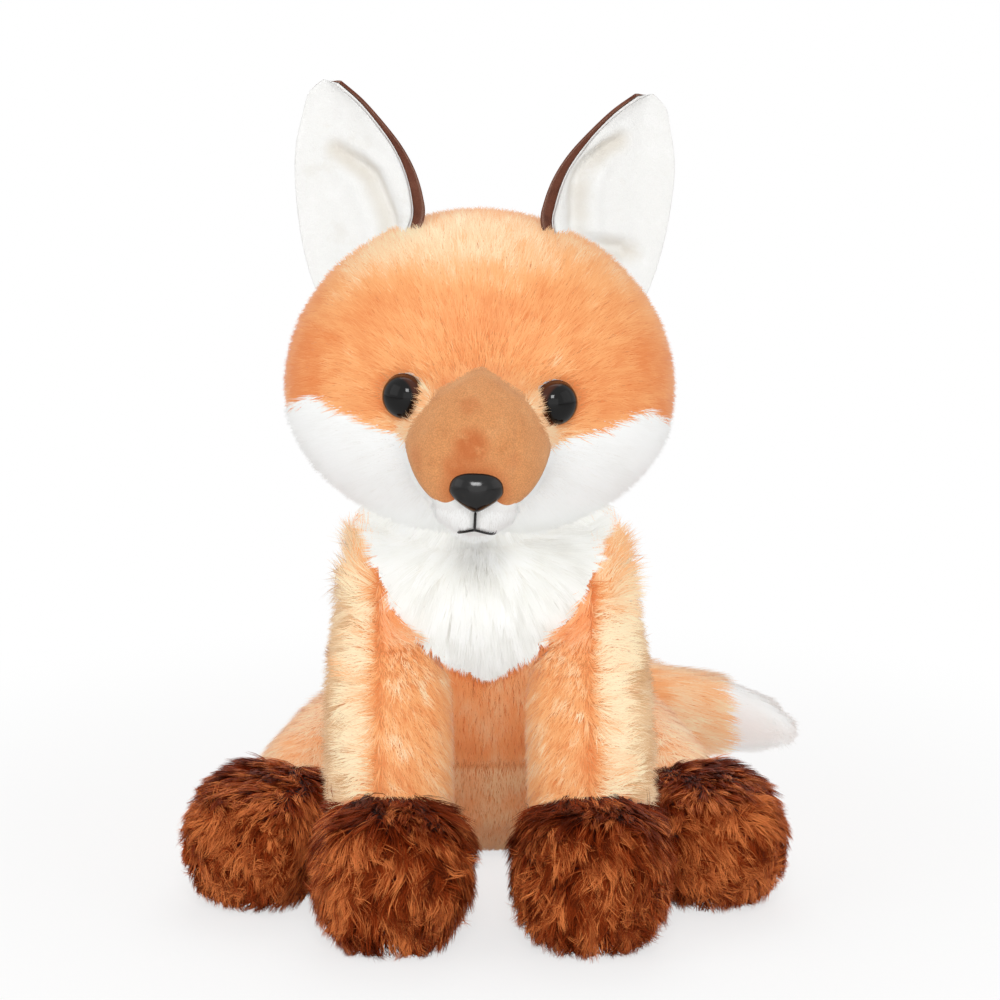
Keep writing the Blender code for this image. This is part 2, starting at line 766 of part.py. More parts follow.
def make_head():
    """Crown, cheeks, bridge and chin cut from one shell by their seams, round a filling."""
    form = head_form("head", head_facets)
    inner_form = head_form("inner_head", fewer(head_facets))
    cover = shell(form, inner_form, "cover", cover_wall)
    filling = grown(inner_form, "head_filling", -cover_wall - seam_gap)
    remove(inner_form)
    socket = ball("socket", neck_in_head, neck_ball_radius + seam_gap, around=True)
    for target in (cover, filling):
        carve(target, socket)
    remove(socket)

    pieces = []
    front = -head_front - 2 * muzzle_reach
    bridge_outline = both_halves(
        [(x * bridge_half_width, z * (bridge_top if z > 0 else -bridge_bottom)) for x, z in bridge_shares]
    )
    chin_outline = both_halves([(x * chin_half_width, z * head_drop) for x, z in chin_shares])
    seam = seam_gap / 2
    cheek_edge = [(seam + x * cheek_reach, z * cheek_height) for x, z in cheek_shares]
    cheek_outline = cheek_edge + [(seam + cheek_reach, cheek_floor), (seam, cheek_floor)]

    bridge_region = prism("bridge_region", bridge_outline, front, bridge_back)
    bridge_room = prism("bridge_room", outline_grown(bridge_outline, seam_gap), front, bridge_back + seam_gap)
    chin_region = prism("chin_region", chin_outline, front, chin_back)
    chin_room = prism("chin_room", outline_grown(chin_outline, seam_gap), front, chin_back + seam_gap)

    bridge = copied(cover, "muzzle_cover")
    carve(bridge, bridge_region, "INTERSECT")
    chin = copied(cover, "chin_cover")
    carve(chin, chin_region, "INTERSECT")
    carve(chin, bridge_room)
    crown = copied(cover, "head_crown_cover")
    for side, sign in sides.items():
        outline = [(sign * x, z) for x, z in cheek_outline]
        room_outline = [(sign * x, z) for x, z in outline_grown(cheek_outline, seam_gap)]
        region = prism("cheek_region", outline, front, cheek_back)
        room = prism("cheek_room", room_outline, front, cheek_back + seam_gap)
        cheek = copied(cover, f"cheek_cover_{side}")
        carve(cheek, region, "INTERSECT")
        for tool in (bridge_room, chin_room):
            carve(cheek, tool)
        carve(crown, room)
        remove(region, room)
        pieces.append((cheek, "white_plush"))
    carve(crown, bridge_room)
    carve(crown, chin_room)
    remove(cover, bridge_region, bridge_room, chin_region, chin_room)
    pieces += make_buttons(form, crown, (bridge, chin), filling)
    pieces.append((make_mouth(form), "black_thread"))
    pieces.append((crown, "orange_plush"))
    pieces.append((bridge, "brown_suede"))
    pieces.append((chin, "white_velour"))
    pieces.append((filling, "fibre"))
    for piece, slot in pieces:
        piece.data.transform(head_place)
        finish(piece, slot, "head_pivot")
    make_ears(form)
    remove(form)


def make_neck():
    filling = ball("neck_filling", neck_middle, neck_ball_radius)
    finish(filling, "fibre", "neck_pivot")


def limb_sockets(gap):
    """Where the shoulders and hips turn against the body's sides."""
    tools = []
    for side, sign in sides.items():
        for place, plane, radius in (
            (shoulder(side), shoulder_plane, shoulder_socket_radius),
            (hip(side), hip_side, hip_socket_radius),
        ):
            start = Vector((sign * (plane - gap), place.y, place.z))
            end = start + Vector((sign * (body_half_width + cut_overrun), 0, 0))
            tools.append(rod("socket", radius + gap, start, end, facets=socket_facets, around=gap > 0))
    return tools


def ball_sockets():
    """Where the neck and the tail turn in the body."""
    neck = ball("socket", neck_middle, neck_ball_radius + seam_gap, around=True)
    tail = ball("socket", tail_root, tail_ball_radius + seam_gap, around=True)
    return [neck, tail]


def flatten(*things):
    """Cuts what would press into the floor."""
    reach = tail_reach + cut_overrun
    depth = body_height
    floor = slab("floor", (-reach, -2 * reach, -depth), (reach, 2 * reach, 0))
    for thing in things:
        carve(thing, floor)
    remove(floor)


def make_body():
    """Back, bib and belly panels cut from one shell, round a filling, with a socket for each limb."""
    form = body_form("body", body_facets)
    inner_form = body_form("inner_body", fewer(body_facets))
    cover = shell(form, inner_form, "cover", cover_wall)
    filling = grown(inner_form, "body_filling", -cover_wall - seam_gap)
    remove(inner_form)
    for tool in limb_sockets(seam_gap) + ball_sockets():
        carve(cover, tool)
        carve(filling, tool)
        remove(tool)
    flatten(cover)

    height = bib_top_height - bib_point_height
    bib_outline = both_halves([(x * bib_half_width, bib_point_height + z * height) for x, z in bib_shares])
    front = -body_front_reach - cut_overrun
    bib_region = prism("bib_region", bib_outline, front, bib_back)
    bib_room = prism("bib_room", outline_grown(bib_outline, seam_gap), front, bib_back + seam_gap)
    slope = belly_seam_height / (belly_seam_back - belly_seam_front)
    reach = body_half_width + cut_overrun
    belly_side = [
        (front, belly_seam_height + (belly_seam_front - front) * slope),
        (belly_seam_back, 0),
        (belly_seam_back, -cut_overrun),
        (front, -cut_overrun),
    ]
    belly_region = prism_across("belly_region", belly_side, reach)
    belly_room = prism_across("belly_room", outline_grown(belly_side, seam_gap), reach)

    bib = copied(cover, "chest_bib")
    carve(bib, bib_region, "INTERSECT")
    belly = copied(cover, "belly_cover")
    carve(belly, belly_region, "INTERSECT")
    back = cover
    back.name = "body_cover"
    carve(back, bib_room)
    carve(back, belly_room)
    remove(bib_region, bib_room, belly_region, belly_room)
    finish(back, "orange_plush")
    finish(bib, "white_plush")
    finish(belly, "tan_plush")
    finish(filling, "fibre")
    return form


def prism_across(name, outline, reach):
    """An outline of y and z drawn out along X, as far to both sides."""
    count = len(outline)
    points = [Vector((x, y, z)) for x in (-reach, reach) for y, z in outline]
    faces = [tuple(range(count)), tuple(range(count, 2 * count))]
    faces += [(k, (k + 1) % count, count + (k + 1) % count, count + k) for k in range(count)]
    return mesh_object(name, points, faces)


def make_limb(name, side, limbs, paws, cuff_top, cuff_foot, cuff_radius, keep_clear_of, pivot):
    """A leg's cover, its paw's cover and the filling that runs through both."""
    limb, inner_limb = limbs
    paw, inner_paw = paws
    leg_cover = shell(limb, inner_limb, f"{name}_leg_cover_{side}", cover_wall)
    paw_cover = shell(paw, inner_paw, f"{name}_paw_cover_{side}", cover_wall)
    filling = grown(inner_limb, f"{name}_leg_filling_{side}", -cover_wall - seam_gap)
    paw_filling = grown(inner_paw, "paw_filling", -cover_wall - seam_gap)
    paw_room = grown(paw, "paw_room", seam_gap)
    cuff = rod("cuff", cuff_radius, cuff_top, cuff_foot, facets=leg_facets[0])
    neck_radius = cuff_radius - seam_gap
    neck_of_filling = rod("neck_of_filling", neck_radius, cuff_top, cuff_foot, facets=leg_facets[0])
    carve(leg_cover, paw_room)
    carve(filling, paw_room)
    carve(filling, neck_of_filling, "UNION")
    carve(filling, paw_filling, "UNION")
    carve(paw_cover, cuff)
    for thing in (leg_cover, filling):
        for tool in keep_clear_of:
            carve(thing, tool)
    flatten(paw_cover)
    remove(*limbs, *paws, paw_filling, paw_room, cuff, neck_of_filling)
    finish(leg_cover, "orange_plush", pivot)
    finish(paw_cover, "dark_plush", pivot)
    finish(filling, "fibre", pivot)


def in_two(spine, half_widths, half_heights, side, facets, blunt, squareness=2.0):
    """A stuffed form twice: as its cover is outside, and with fewer facets for what lies inside."""
    return [
        stuffed("form", spine, half_widths, half_heights, side, count, blunt, squareness)
        for count in (facets, fewer(facets))
    ]


def shoulder_room(side):
    """What a front leg would swing into at its shoulder: all but the round end that turns there."""
    sign = sides[side]
    top = shoulder(side)
    reach = shoulder_height
    room = slab("shoulder_room", (-reach, 0, -reach), (reach, reach, reach))
    room.data.transform(Matrix.Translation(top) @ Matrix.Rotation(shoulder_end_tilt, 4, "X"))
    inner = Vector((sign * (shoulder_plane + shoulder_end_inset), top.y, top.z))
    outward = Vector((sign * reach, 0, 0))
    round_end = rod("round_end", shoulder_end_radius, inner, inner + outward, socket_facets)
    carve(room, round_end)
    remove(round_end)
    before_chest = rod("before_chest", chest_clear_radius, inner - outward, inner, socket_facets, around=True)
    return room, before_chest


def make_limbs(body):
    """Front and hind legs, cut back from the body where they are sewn to it."""
    around_body = grown(body, "around_body", seam_gap)
    for tool in limb_sockets(0):
        carve(around_body, tool)
        remove(tool)
    around_neck = ball("around_neck", neck_middle, neck_ball_radius + seam_gap, around=True)
    across = Vector((1, 0, 0))
    for side, sign in sides.items():
        top = shoulder(side)
        paw_x = sign * front_paw_side + front_paw_side_shift
        paw_radius = front_paw_height / 2
        paw_middle = Vector((paw_x, front_paw_front + front_paw_length / 2, paw_radius))
        start = top + Vector((0, leg_top_back, leg_top_rise))
        spine = [start, start.lerp(paw_middle, 1 / 3), start.lerp(paw_middle, 2 / 3), paw_middle]
        legs = in_two(spine, leg_half_widths, leg_half_depths, across, leg_facets, leg_bluntness)
        toe = Vector((paw_x, front_paw_front, paw_radius - floor_squash))
        heel = toe + Vector((0, front_paw_length, 0))
        half_heights = [paw_radius + floor_squash] * 2
        half_widths = [front_paw_half_width] * 2
        paws = in_two(
            [heel, toe], half_widths, half_heights, across, leg_facets, front_paw_bluntness, paw_squareness
        )
        rooms = shoulder_room(side)
        make_limb(
            "front", side, legs, paws, start.lerp(paw_middle, front_cuff_share), paw_middle,
            min(leg_half_widths[-1], leg_half_depths[-1]) * cuff_share - cover_wall,
            (around_body, around_neck, *rooms), f"shoulder_pivot_{side}",
        )
        remove(*rooms)

        root = hip(side)
        paw_x = sign * hind_paw_side
        paw_radius = hind_paw_height / 2
        paw_middle = Vector((paw_x, hind_paw_front + hind_paw_length / 2, paw_radius))
        rear = root + Vector((sign * thigh_side, thigh_back, 0))
        middle = root + Vector((sign * thigh_side * thigh_middle_share, 0, 0))
        spine = [rear, middle, middle.lerp(paw_middle, 0.5), paw_middle]
        legs = in_two(spine, thigh_half_widths, thigh_half_heights, across, leg_facets, thigh_bluntness)
        toe = Vector((paw_x + sign * hind_paw_splay, hind_paw_front, paw_radius - floor_squash))
        heel = toe + Vector((-2 * sign * hind_paw_splay, hind_paw_length, 0))
        half_heights = [paw_radius + floor_squash] * 2
        half_widths = [hind_paw_half_width] * 2
        paws = in_two(
            [heel, toe], half_widths, half_heights, across, leg_facets, hind_paw_bluntness, paw_squareness
        )
        cuff_top = paw_middle.lerp(spine[2], hind_cuff_share)
        make_limb(
            "hind", side, legs, paws, cuff_top, paw_middle,
            min(thigh_half_widths[-1], thigh_half_heights[-1]) * cuff_share - cover_wall,
            (around_body,), f"hip_pivot_{side}",
        )
    remove(around_body, around_neck)


def make_tail(body):
    """A bushy tail that curls round the fox's left side, with a white end."""
    spine = [
        tail_root + Vector((x * tail_reach, y * tail_sweep, -x * tail_tip_drop))
        for x, y in [(0, 0), *tail_shares, (1, 0)]
    ]
    up = Vector((0, 0, 1))
    form, inner_form = in_two(spine, tail_radii, tail_radii, up, tail_facets, tail_bluntness)
    cover = shell(form, inner_form, "tail_cover", cover_wall)
    filling = grown(inner_form, "tail_filling", -cover_wall - seam_gap)
    for share in (0, 0.5, 1):
        around_body = grown(body, "around_body", seam_gap)
        turn = Matrix.Rotation(share * tail_close_turn, 4, "Z")
        around_body.data.transform(Matrix.Translation(tail_root) @ turn @ Matrix.Translation(-tail_root))
        carve(cover, around_body)
        carve(filling, around_body)
        remove(around_body)
    root = ball("root", tail_root, tail_ball_radius)
    root_room = grown(root, "root_room", seam_gap)
    carve(cover, root_room)
    carve(filling, root, "UNION")
    remove(root, root_room)
    seam = tail_reach - tail_tip_length
    span = tail_reach + cut_overrun
    tip_region = slab("tip_region", (seam + seam_gap / 2, -span, -span), (span, span, span))
    rest_region = slab("rest_region", (-span, -span, -span), (seam - seam_gap / 2, span, span))
    tip = copied(cover, "tail_tip_cover")
    carve(tip, tip_region, "INTERSECT")
    carve(cover, rest_region, "INTERSECT")
    remove(form, inner_form, tip_region, rest_region)
    finish(cover, "orange_plush", "tail_pivot")
    finish(tip, "white_plush", "tail_pivot")
    finish(filling, "fibre", "tail_pivot")


for old in list(bpy.data.objects):
    bpy.data.objects.remove(old)

materials = make_materials()
pivots, pivot_places = make_pivots()
make_head()
make_neck()
body = make_body()
make_limbs(body)
make_tail(body)
remove(body)
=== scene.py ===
"""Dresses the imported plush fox: backing cloth, sewn-in pile, ears, face and a pale studio."""

import math

import bpy
import numpy as np
from mathutils import Matrix, Vector
from mathutils.bvhtree import BVHTree
from mathutils.kdtree import KDTree


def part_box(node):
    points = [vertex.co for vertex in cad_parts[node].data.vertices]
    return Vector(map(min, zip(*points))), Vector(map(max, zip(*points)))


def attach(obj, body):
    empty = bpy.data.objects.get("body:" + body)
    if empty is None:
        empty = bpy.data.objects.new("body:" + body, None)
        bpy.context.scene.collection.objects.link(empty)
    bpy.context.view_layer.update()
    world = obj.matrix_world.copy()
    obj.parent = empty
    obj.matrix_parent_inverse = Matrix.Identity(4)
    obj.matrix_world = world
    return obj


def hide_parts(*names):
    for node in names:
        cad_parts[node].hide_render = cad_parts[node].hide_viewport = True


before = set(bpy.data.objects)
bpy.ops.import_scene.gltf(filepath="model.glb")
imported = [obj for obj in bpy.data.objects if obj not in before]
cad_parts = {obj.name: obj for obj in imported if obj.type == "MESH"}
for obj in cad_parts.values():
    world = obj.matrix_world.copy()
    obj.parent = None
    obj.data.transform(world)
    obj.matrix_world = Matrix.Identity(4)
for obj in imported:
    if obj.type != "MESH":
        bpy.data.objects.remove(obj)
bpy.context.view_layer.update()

# Sizes, in metres, as the CAD has them
sides = {"left": 1, "right": -1}
neck_middle = Vector((-0.0044, -0.0400, 0.1285))
head_middle = Vector((-0.0044, -0.0450, 0.1820))
head_roll = math.radians(2.5)
head_half_width, head_rise, head_drop, head_front, head_back = 0.0695, 0.0640, 0.0530, 0.0520, 0.0560
muzzle_reach, muzzle_dip, muzzle_bluntness = 0.0270, math.radians(14.5), 3.3
muzzle_side_spread, muzzle_top_spread, muzzle_bottom_spread = (math.radians(a) for a in (23.0, 26.0, 23.0))
bridge_top, bridge_half_width, bridge_bottom = 0.0165, 0.0250, -0.0290
bridge_shares = [(0.00, 1.02), (0.18, 0.86), (0.36, 0.70), (0.68, 0.42), (0.93, -0.03), (1.02, -0.27),
                 (1.00, -0.43), (0.90, -0.62), (0.75, -0.81), (0.61, -0.92), (0.47, -1.00), (0.36, -0.97),
                 (0.27, -0.86), (0.00, -0.80)]
chin_half_width = 0.0170
chin_shares = [(0.00, -0.36), (0.94, -0.36), (1.00, -0.66), (0.60, -0.84), (0.00, -0.88)]
eye_side, eye_height, eye_azimuth, eye_radius, eye_dome = 0.0265, 0.0037, math.radians(24.0), 0.0075, 0.0058
nose_half_width, nose_half_height, nose_depth, nose_height = 0.0090, 0.0071, 0.0055, -0.0220
mouth_half_width, mouth_drop, mouth_height, mouth_top = 0.0062, 0.0019, -0.0350, -0.0290
ear_height, ear_reach, ear_side_shift = 0.1060, 0.0665, -0.0016
ear_depth, ear_cup, ear_turn = 0.0020, 0.0040, 0.0080
ear_wrap_share = 0.13
ear_shares = [(0.42, 0.45, 0.84, 0.26), (0.36, 0.56, 0.91, 0.37), (0.365, 0.63, 0.96, 0.49),
              (0.40, 0.71, 0.99, 0.62), (0.46, 0.785, 1.00, 0.745), (0.55, 0.86, 0.978, 0.85),
              (0.66, 0.935, 0.918, 0.945), (0.775, 0.992, 0.815, 0.996)]
camera_back, camera_height, camera_tilt = 1.020, 0.340, math.radians(78.5)
bib_plane, bib_plane_distance = -0.078, 0.942
root_depth, floor_clearance = 0.0030, 0.0015
fine_cuts = (0, 0.38, 0.72, 1)
strands_per_area = {"head": 2.3e6, "body": 2.0e6, "leg": 2.3e6, "tail": 2.0e6, "neck": 2.0e6, "bib": 3.4e6,
                    "chin": 5.0e6}
bib_edge = [(0.0815, 0.0), (0.0859, 0.0087), (0.0895, 0.0140), (0.0949, 0.0200), (0.1021, 0.0266),
            (0.1093, 0.0322), (0.1170, 0.0353), (0.1236, 0.0384), (0.1342, 0.0420), (0.1430, 0.0455)]
belly_seam_height, belly_seam_half_width = 0.0455, 0.0007
leg_seams = {"left": -0.02, "right": 0.16}
leg_top_fluff = {"left": 0.0055, "right": 0.0068}
head_place = (Matrix.Translation(neck_middle) @ Matrix.Rotation(head_roll, 4, "Y")
              @ Matrix.Translation(head_middle - neck_middle))


# Small helpers
def unit(vectors):
    return vectors / np.maximum(np.linalg.norm(vectors, axis=-1, keepdims=True), 1e-12)


def placed(points, matrix):
    """Points turned and moved by a matrix."""
    m = np.array(matrix)
    return points @ m[:3, :3].T + m[:3, 3]


def step(values, low, high):
    """0 below low, 1 above high, smooth between."""
    t = np.clip((values - low) / (high - low), 0, 1)
    return t * t * (3 - 2 * t)


def smooth(rows, place):
    """A curve through rows of numbers, at a place from 0 to 1."""
    last = len(rows) - 1
    start = min(int(place * last), last - 1)
    t = place * last - start
    a, b, c, d = (np.array(rows[min(max(start + k, 0), last)], float) for k in (-1, 0, 1, 2))
    return b + t * (c - a + t * (2 * a - 5 * b + 4 * c - d + t * (3 * b - a - 3 * c + d))) / 2


def waves(points, size, seed):
    """A soft, even, repeatable unevenness from about -1 to 1, with bumps of the given size."""
    dice = np.random.default_rng(seed)
    total = np.zeros(len(points))
    for _ in range(7):
        direction = unit(dice.normal(size=3))
        total += np.sin(points @ direction * (2 * math.pi / size * dice.uniform(0.6, 1.5))
                        + dice.uniform(0, 6.3))
    return total / 3.2


def mesh_piece(name, points, faces):
    """A mesh object from points and equal-sided faces."""
    points, faces = np.asarray(points, np.float32), np.asarray(faces, np.int32)
    mesh = bpy.data.meshes.new(name)
    mesh.vertices.add(len(points))
    mesh.vertices.foreach_set("co", points.ravel())
    mesh.loops.add(faces.size)
    mesh.loops.foreach_set("vertex_index", faces.ravel())
    mesh.polygons.add(len(faces))
    mesh.polygons.foreach_set("loop_start", np.arange(0, faces.size, faces.shape[1], dtype=np.int32))
    mesh.polygons.foreach_set("loop_total", np.full(len(faces), faces.shape[1], np.int32))
    mesh.polygons.foreach_set("use_smooth", np.ones(len(faces), bool))
    mesh.update(calc_edges=True)
    piece = bpy.data.objects.new(name, mesh)
    bpy.context.scene.collection.objects.link(piece)
    return piece


def arrays(thing):
    """The points and triangles of an object."""
    mesh = thing.data
    mesh.calc_loop_triangles()
    points = np.zeros(len(mesh.vertices) * 3, np.float32)
    mesh.vertices.foreach_get("co", points)
    triangles = np.zeros(len(mesh.loop_triangles) * 3, np.int32)
    mesh.loop_triangles.foreach_get("vertices", triangles)
    return points.reshape(-1, 3).astype(float), triangles.reshape(-1, 3)


def normals_of(points, triangles):
    a, b, c = (points[triangles[:, k]] for k in range(3))
    flat = np.cross(b - a, c - a)
    total = np.zeros_like(points)
    for k in range(3):
        np.add.at(total, triangles[:, k], flat)
    return unit(total)


def tree_of(points, triangles):
    return BVHTree.FromPolygons(points.tolist(), triangles.tolist())


def ring_form(rings, start, end):
    """Points and triangles of a closed form over rings, facing outwards."""
    rows, columns = rings.shape[:2]
    points = np.vstack([np.array(start)[None], rings.reshape(-1, 3), np.array(end)[None]])
    grid = 1 + np.arange(rows * columns).reshape(rows, columns)
    after = np.roll(grid, -1, axis=1)
    quads = np.stack([grid[:-1], after[:-1], after[1:], grid[1:]], -1).reshape(-1, 4)
    first = np.stack([np.zeros(columns, int), after[0], grid[0]], -1)
    last = np.stack([np.full(columns, len(points) - 1), grid[-1], after[-1]], -1)
    triangles = np.vstack([quads[:, [0, 1, 2]], quads[:, [0, 2, 3]], first, last])
    a, b, c = (points[triangles[:, k]] for k in range(3))
    if np.einsum("ij,ij->i", a, np.cross(b, c)).sum() < 0:
        triangles = triangles[:, ::-1]
    return points, triangles


# Finishes
def shade(red, green, blue):
    """A colour given as it looks on a screen, 0 to 255, for a shader socket."""
    parts = (c / 255 for c in (red, green, blue))
    return (*(c / 12.92 if c <= 0.04045 else ((c + 0.055) / 1.055) ** 2.4 for c in parts), 1)


def new_group(name, inputs, outputs):
    """An empty node group with named sockets, and its input and output nodes."""
    tree = bpy.data.node_groups.new(name, "ShaderNodeTree")
    kinds = {"colour": "NodeSocketColor", "value": "NodeSocketFloat"}
    for direction, sockets in (("INPUT", inputs), ("OUTPUT", outputs)):
        for title, kind in sockets:
            tree.interface.new_socket(title, in_out=direction, socket_type=kinds[kind])
    return tree, tree.nodes.new("NodeGroupInput"), tree.nodes.new("NodeGroupOutput")


def wire(tree, source, target):
    tree.links.new(source, target)
    return target


def mix(tree, factor, first, second, blend="MIX"):
    """A colour mix node; each argument is a socket or a plain value."""
    node = tree.nodes.new("ShaderNodeMix")
    node.data_type, node.blend_type = "RGBA", blend
    for socket, given in ((node.inputs[0], factor), (node.inputs[6], first), (node.inputs[7], second)):
        if isinstance(given, bpy.types.NodeSocket):
            wire(tree, given, socket)
        else:
            socket.default_value = given
    return node.outputs[2]


def ranged(tree, source, low, high, to_low=0.0, to_high=1.0, kind="SMOOTHSTEP"):
    node = tree.nodes.new("ShaderNodeMapRange")
    node.interpolation_type = kind
    wire(tree, source, node.inputs[0])
    for k, given in enumerate((low, high, to_low, to_high)):
        if isinstance(given, bpy.types.NodeSocket):
            wire(tree, given, node.inputs[k + 1])
        else:
            node.inputs[k + 1].default_value = given
    return node.outputs[0]


def noise(tree, place, scale, detail=3.0, rough=0.55):
    node = tree.nodes.new("ShaderNodeTexNoise")
    wire(tree, place, node.inputs["Vector"])
    if isinstance(scale, bpy.types.NodeSocket):
        wire(tree, scale, node.inputs["Scale"])
    else:
        node.inputs["Scale"].default_value = scale
    node.inputs["Detail"].default_value = detail
    node.inputs["Roughness"].default_value = rough
    return node.outputs[0]


def make_pile_tone():
    """Colour along one strand of pile: its own tone across the map, from the root up to the tip."""
    tree, given, out = new_group("pile_tone",
                                 [("Deep", "colour"), ("Middle", "colour"), ("Pale", "colour"),
                                  ("Root Shade", "colour"), ("Root Reach", "value")],
                                 [("Color", "colour"), ("Roughness", "value")],)
    strand = tree.nodes.new("ShaderNodeUVMap")
    strand.uv_map = "OFBake"
    parts = tree.nodes.new("ShaderNodeSeparateXYZ")
    wire(tree, strand.outputs[0], parts.inputs[0])
    low = mix(tree, ranged(tree, parts.outputs[0], 0.0, 0.5, kind="LINEAR"), given.outputs["Deep"],
              given.outputs["Middle"])
    tone = mix(tree, ranged(tree, parts.outputs[0], 0.5, 1.0, kind="LINEAR"), low, given.outputs["Pale"])
    # Darker towards the root: partly the pile's own root colour, partly painted shade deep between the
    # strands.
    root = mix(tree, ranged(tree, parts.outputs[1], 0.0, given.outputs["Root Reach"]),
               given.outputs["Root Shade"], (1, 1, 1, 1))
    wire(tree, mix(tree, 1.0, tone, root, "MULTIPLY"), out.inputs["Color"])
    wire(tree, ranged(tree, parts.outputs[1], 0.0, 1.0, 0.75, 0.48), out.inputs["Roughness"])
    return tree


def make_cloth_grain():
    """Mottled colour, roughness and height of a short-piled or woven cloth."""
    tree, given, out = new_group("cloth_grain",
                                 [("Colour", "colour"), ("Brushed Dark", "colour"),
                                  ("Brushed Pale", "colour"), ("Blotch Scale", "value"),
                                  ("Grain Scale", "value"), ("Dark Amount", "value"),
                                  ("Pale Amount", "value"), ("Fleck Dark", "colour"), ("Fleck Pale",
            "colour")], [("Color", "colour"), ("Roughness", "value"), ("Height", "value")],)
    place = tree.nodes.new("ShaderNodeTexCoord").outputs["Object"]
    blotch = noise(tree, place, given.outputs["Blotch Scale"], 4, 0.6)
    grain = noise(tree, place, given.outputs["Grain Scale"], 2, 0.5)
    dark = ranged(tree, blotch, 0.46, 0.30, 0.0, given.outputs["Dark Amount"])
    pale = ranged(tree, blotch, 0.52, 0.70, 0.0, given.outputs["Pale Amount"])
    colour = mix(tree, dark, given.outputs["Colour"], given.outputs["Brushed Dark"])
    colour = mix(tree, pale, colour, given.outputs["Brushed Pale"])
    flecks = mix(tree, ranged(tree, grain, 0.35, 0.65), given.outputs["Fleck Dark"],
                 given.outputs["Fleck Pale"])
    wire(tree, mix(tree, 1.0, colour, flecks, "MULTIPLY"), out.inputs["Color"])
    wire(tree, ranged(tree, grain, 0.3, 0.7, 0.95, 0.80), out.inputs["Roughness"])
    wire(tree, grain, out.inputs["Height"])
    return tree


pile_tone = make_pile_tone()
cloth_grain = make_cloth_grain()


def new_material(name):
    material = bpy.data.materials.new(name)
    material.use_nodes = True
    return material, material.node_tree, material.node_tree.nodes["Principled BSDF"]


finishes = {}


def pile_finish(name, deep, middle, pale, root_shade, root_reach, sheen=0.3, gloss=0.35,
                shine=(1, 1, 1, 1)):
    """Long pile: the strand's tone, darker at the root (partly its own root colour, partly painted shade
    between the strands) and glossier at the tip.
    """
    material, tree, shader = new_material(name)
    tone = tree.nodes.new("ShaderNodeGroup")
    tone.node_tree = pile_tone
    for title, value in (("Deep", deep), ("Middle", middle), ("Pale", pale), ("Root Shade", root_shade),
                         ("Root Reach", root_reach)):
        tone.inputs[title].default_value = value
    wire(tree, tone.outputs["Color"], shader.inputs["Base Color"])
    wire(tree, tone.outputs["Roughness"], shader.inputs["Roughness"])
    shader.inputs["Specular IOR Level"].default_value = gloss
    shader.inputs["Specular Tint"].default_value = shine
    shader.inputs["Sheen Weight"].default_value = sheen
    shader.inputs["Sheen Roughness"].default_value = 0.4
    finishes[name] = material


def cloth_finish(name, colour, dark, pale, blotch=60.0, grain=1800.0, dark_amount=0.6, pale_amount=0.5,
                 bump=0.25, depth=0.0003, sheen=0.5, tint=(1, 1, 1, 1), fleck=0.12,
                 fleck_shares=(1.0, 0.6), rubbed_and_shade=None, places=(), ragged_scale=260.0, core=0.35):
    """Velour, suede or backing cloth, mottled and grained, with a colour laid round some places: rubbed nap
    on the suede, painted shade in the pleats of the ear's lining.
    """
    material, tree, shader = new_material(name)
    cloth = tree.nodes.new("ShaderNodeGroup")
    cloth.node_tree = cloth_grain
    for title, value in (("Colour", colour), ("Brushed Dark", dark), ("Brushed Pale", pale),
                         ("Blotch Scale", blotch), ("Grain Scale", grain), ("Dark Amount", dark_amount),
                         ("Pale Amount", pale_amount), ("Fleck Dark", (1 - fleck
            * fleck_shares[0],) * 3 + (1,)), ("Fleck Pale", (1 + fleck * fleck_shares[1],) * 3 + (1,))):
        cloth.inputs[title].default_value = value
    tone = cloth.outputs["Color"]
    if places:
        place = tree.nodes.new("ShaderNodeTexCoord").outputs["Object"]
        ragged = ranged(tree, noise(tree, place, ragged_scale, 4, 0.65), 0.20, 0.52)
    for middle, reach, strength in places:
        away = tree.nodes.new("ShaderNodeVectorMath")
        away.operation = "DISTANCE"
        wire(tree, place, away.inputs[0])
        away.inputs[1].default_value = middle
        broken = tree.nodes.new("ShaderNodeMath")
        broken.operation = "MULTIPLY"
        wire(tree, ranged(tree, away.outputs["Value"], reach, reach * core, 0.0, strength),
             broken.inputs[0])
        wire(tree, ragged, broken.inputs[1])
        tone = mix(tree, broken.outputs[0], tone, rubbed_and_shade)
    wire(tree, tone, shader.inputs["Base Color"])
    wire(tree, cloth.outputs["Roughness"], shader.inputs["Roughness"])
    raised = tree.nodes.new("ShaderNodeBump")
    raised.inputs["Strength"].default_value = bump
    raised.inputs["Distance"].default_value = depth
    wire(tree, cloth.outputs["Height"], raised.inputs["Height"])
    wire(tree, raised.outputs[0], shader.inputs["Normal"])
    shader.inputs["Specular IOR Level"].default_value = 0.2
    shader.inputs["Sheen Weight"].default_value = sheen
    shader.inputs["Sheen Roughness"].default_value = 0.5
    shader.inputs["Sheen Tint"].default_value = tint
    finishes[name] = material


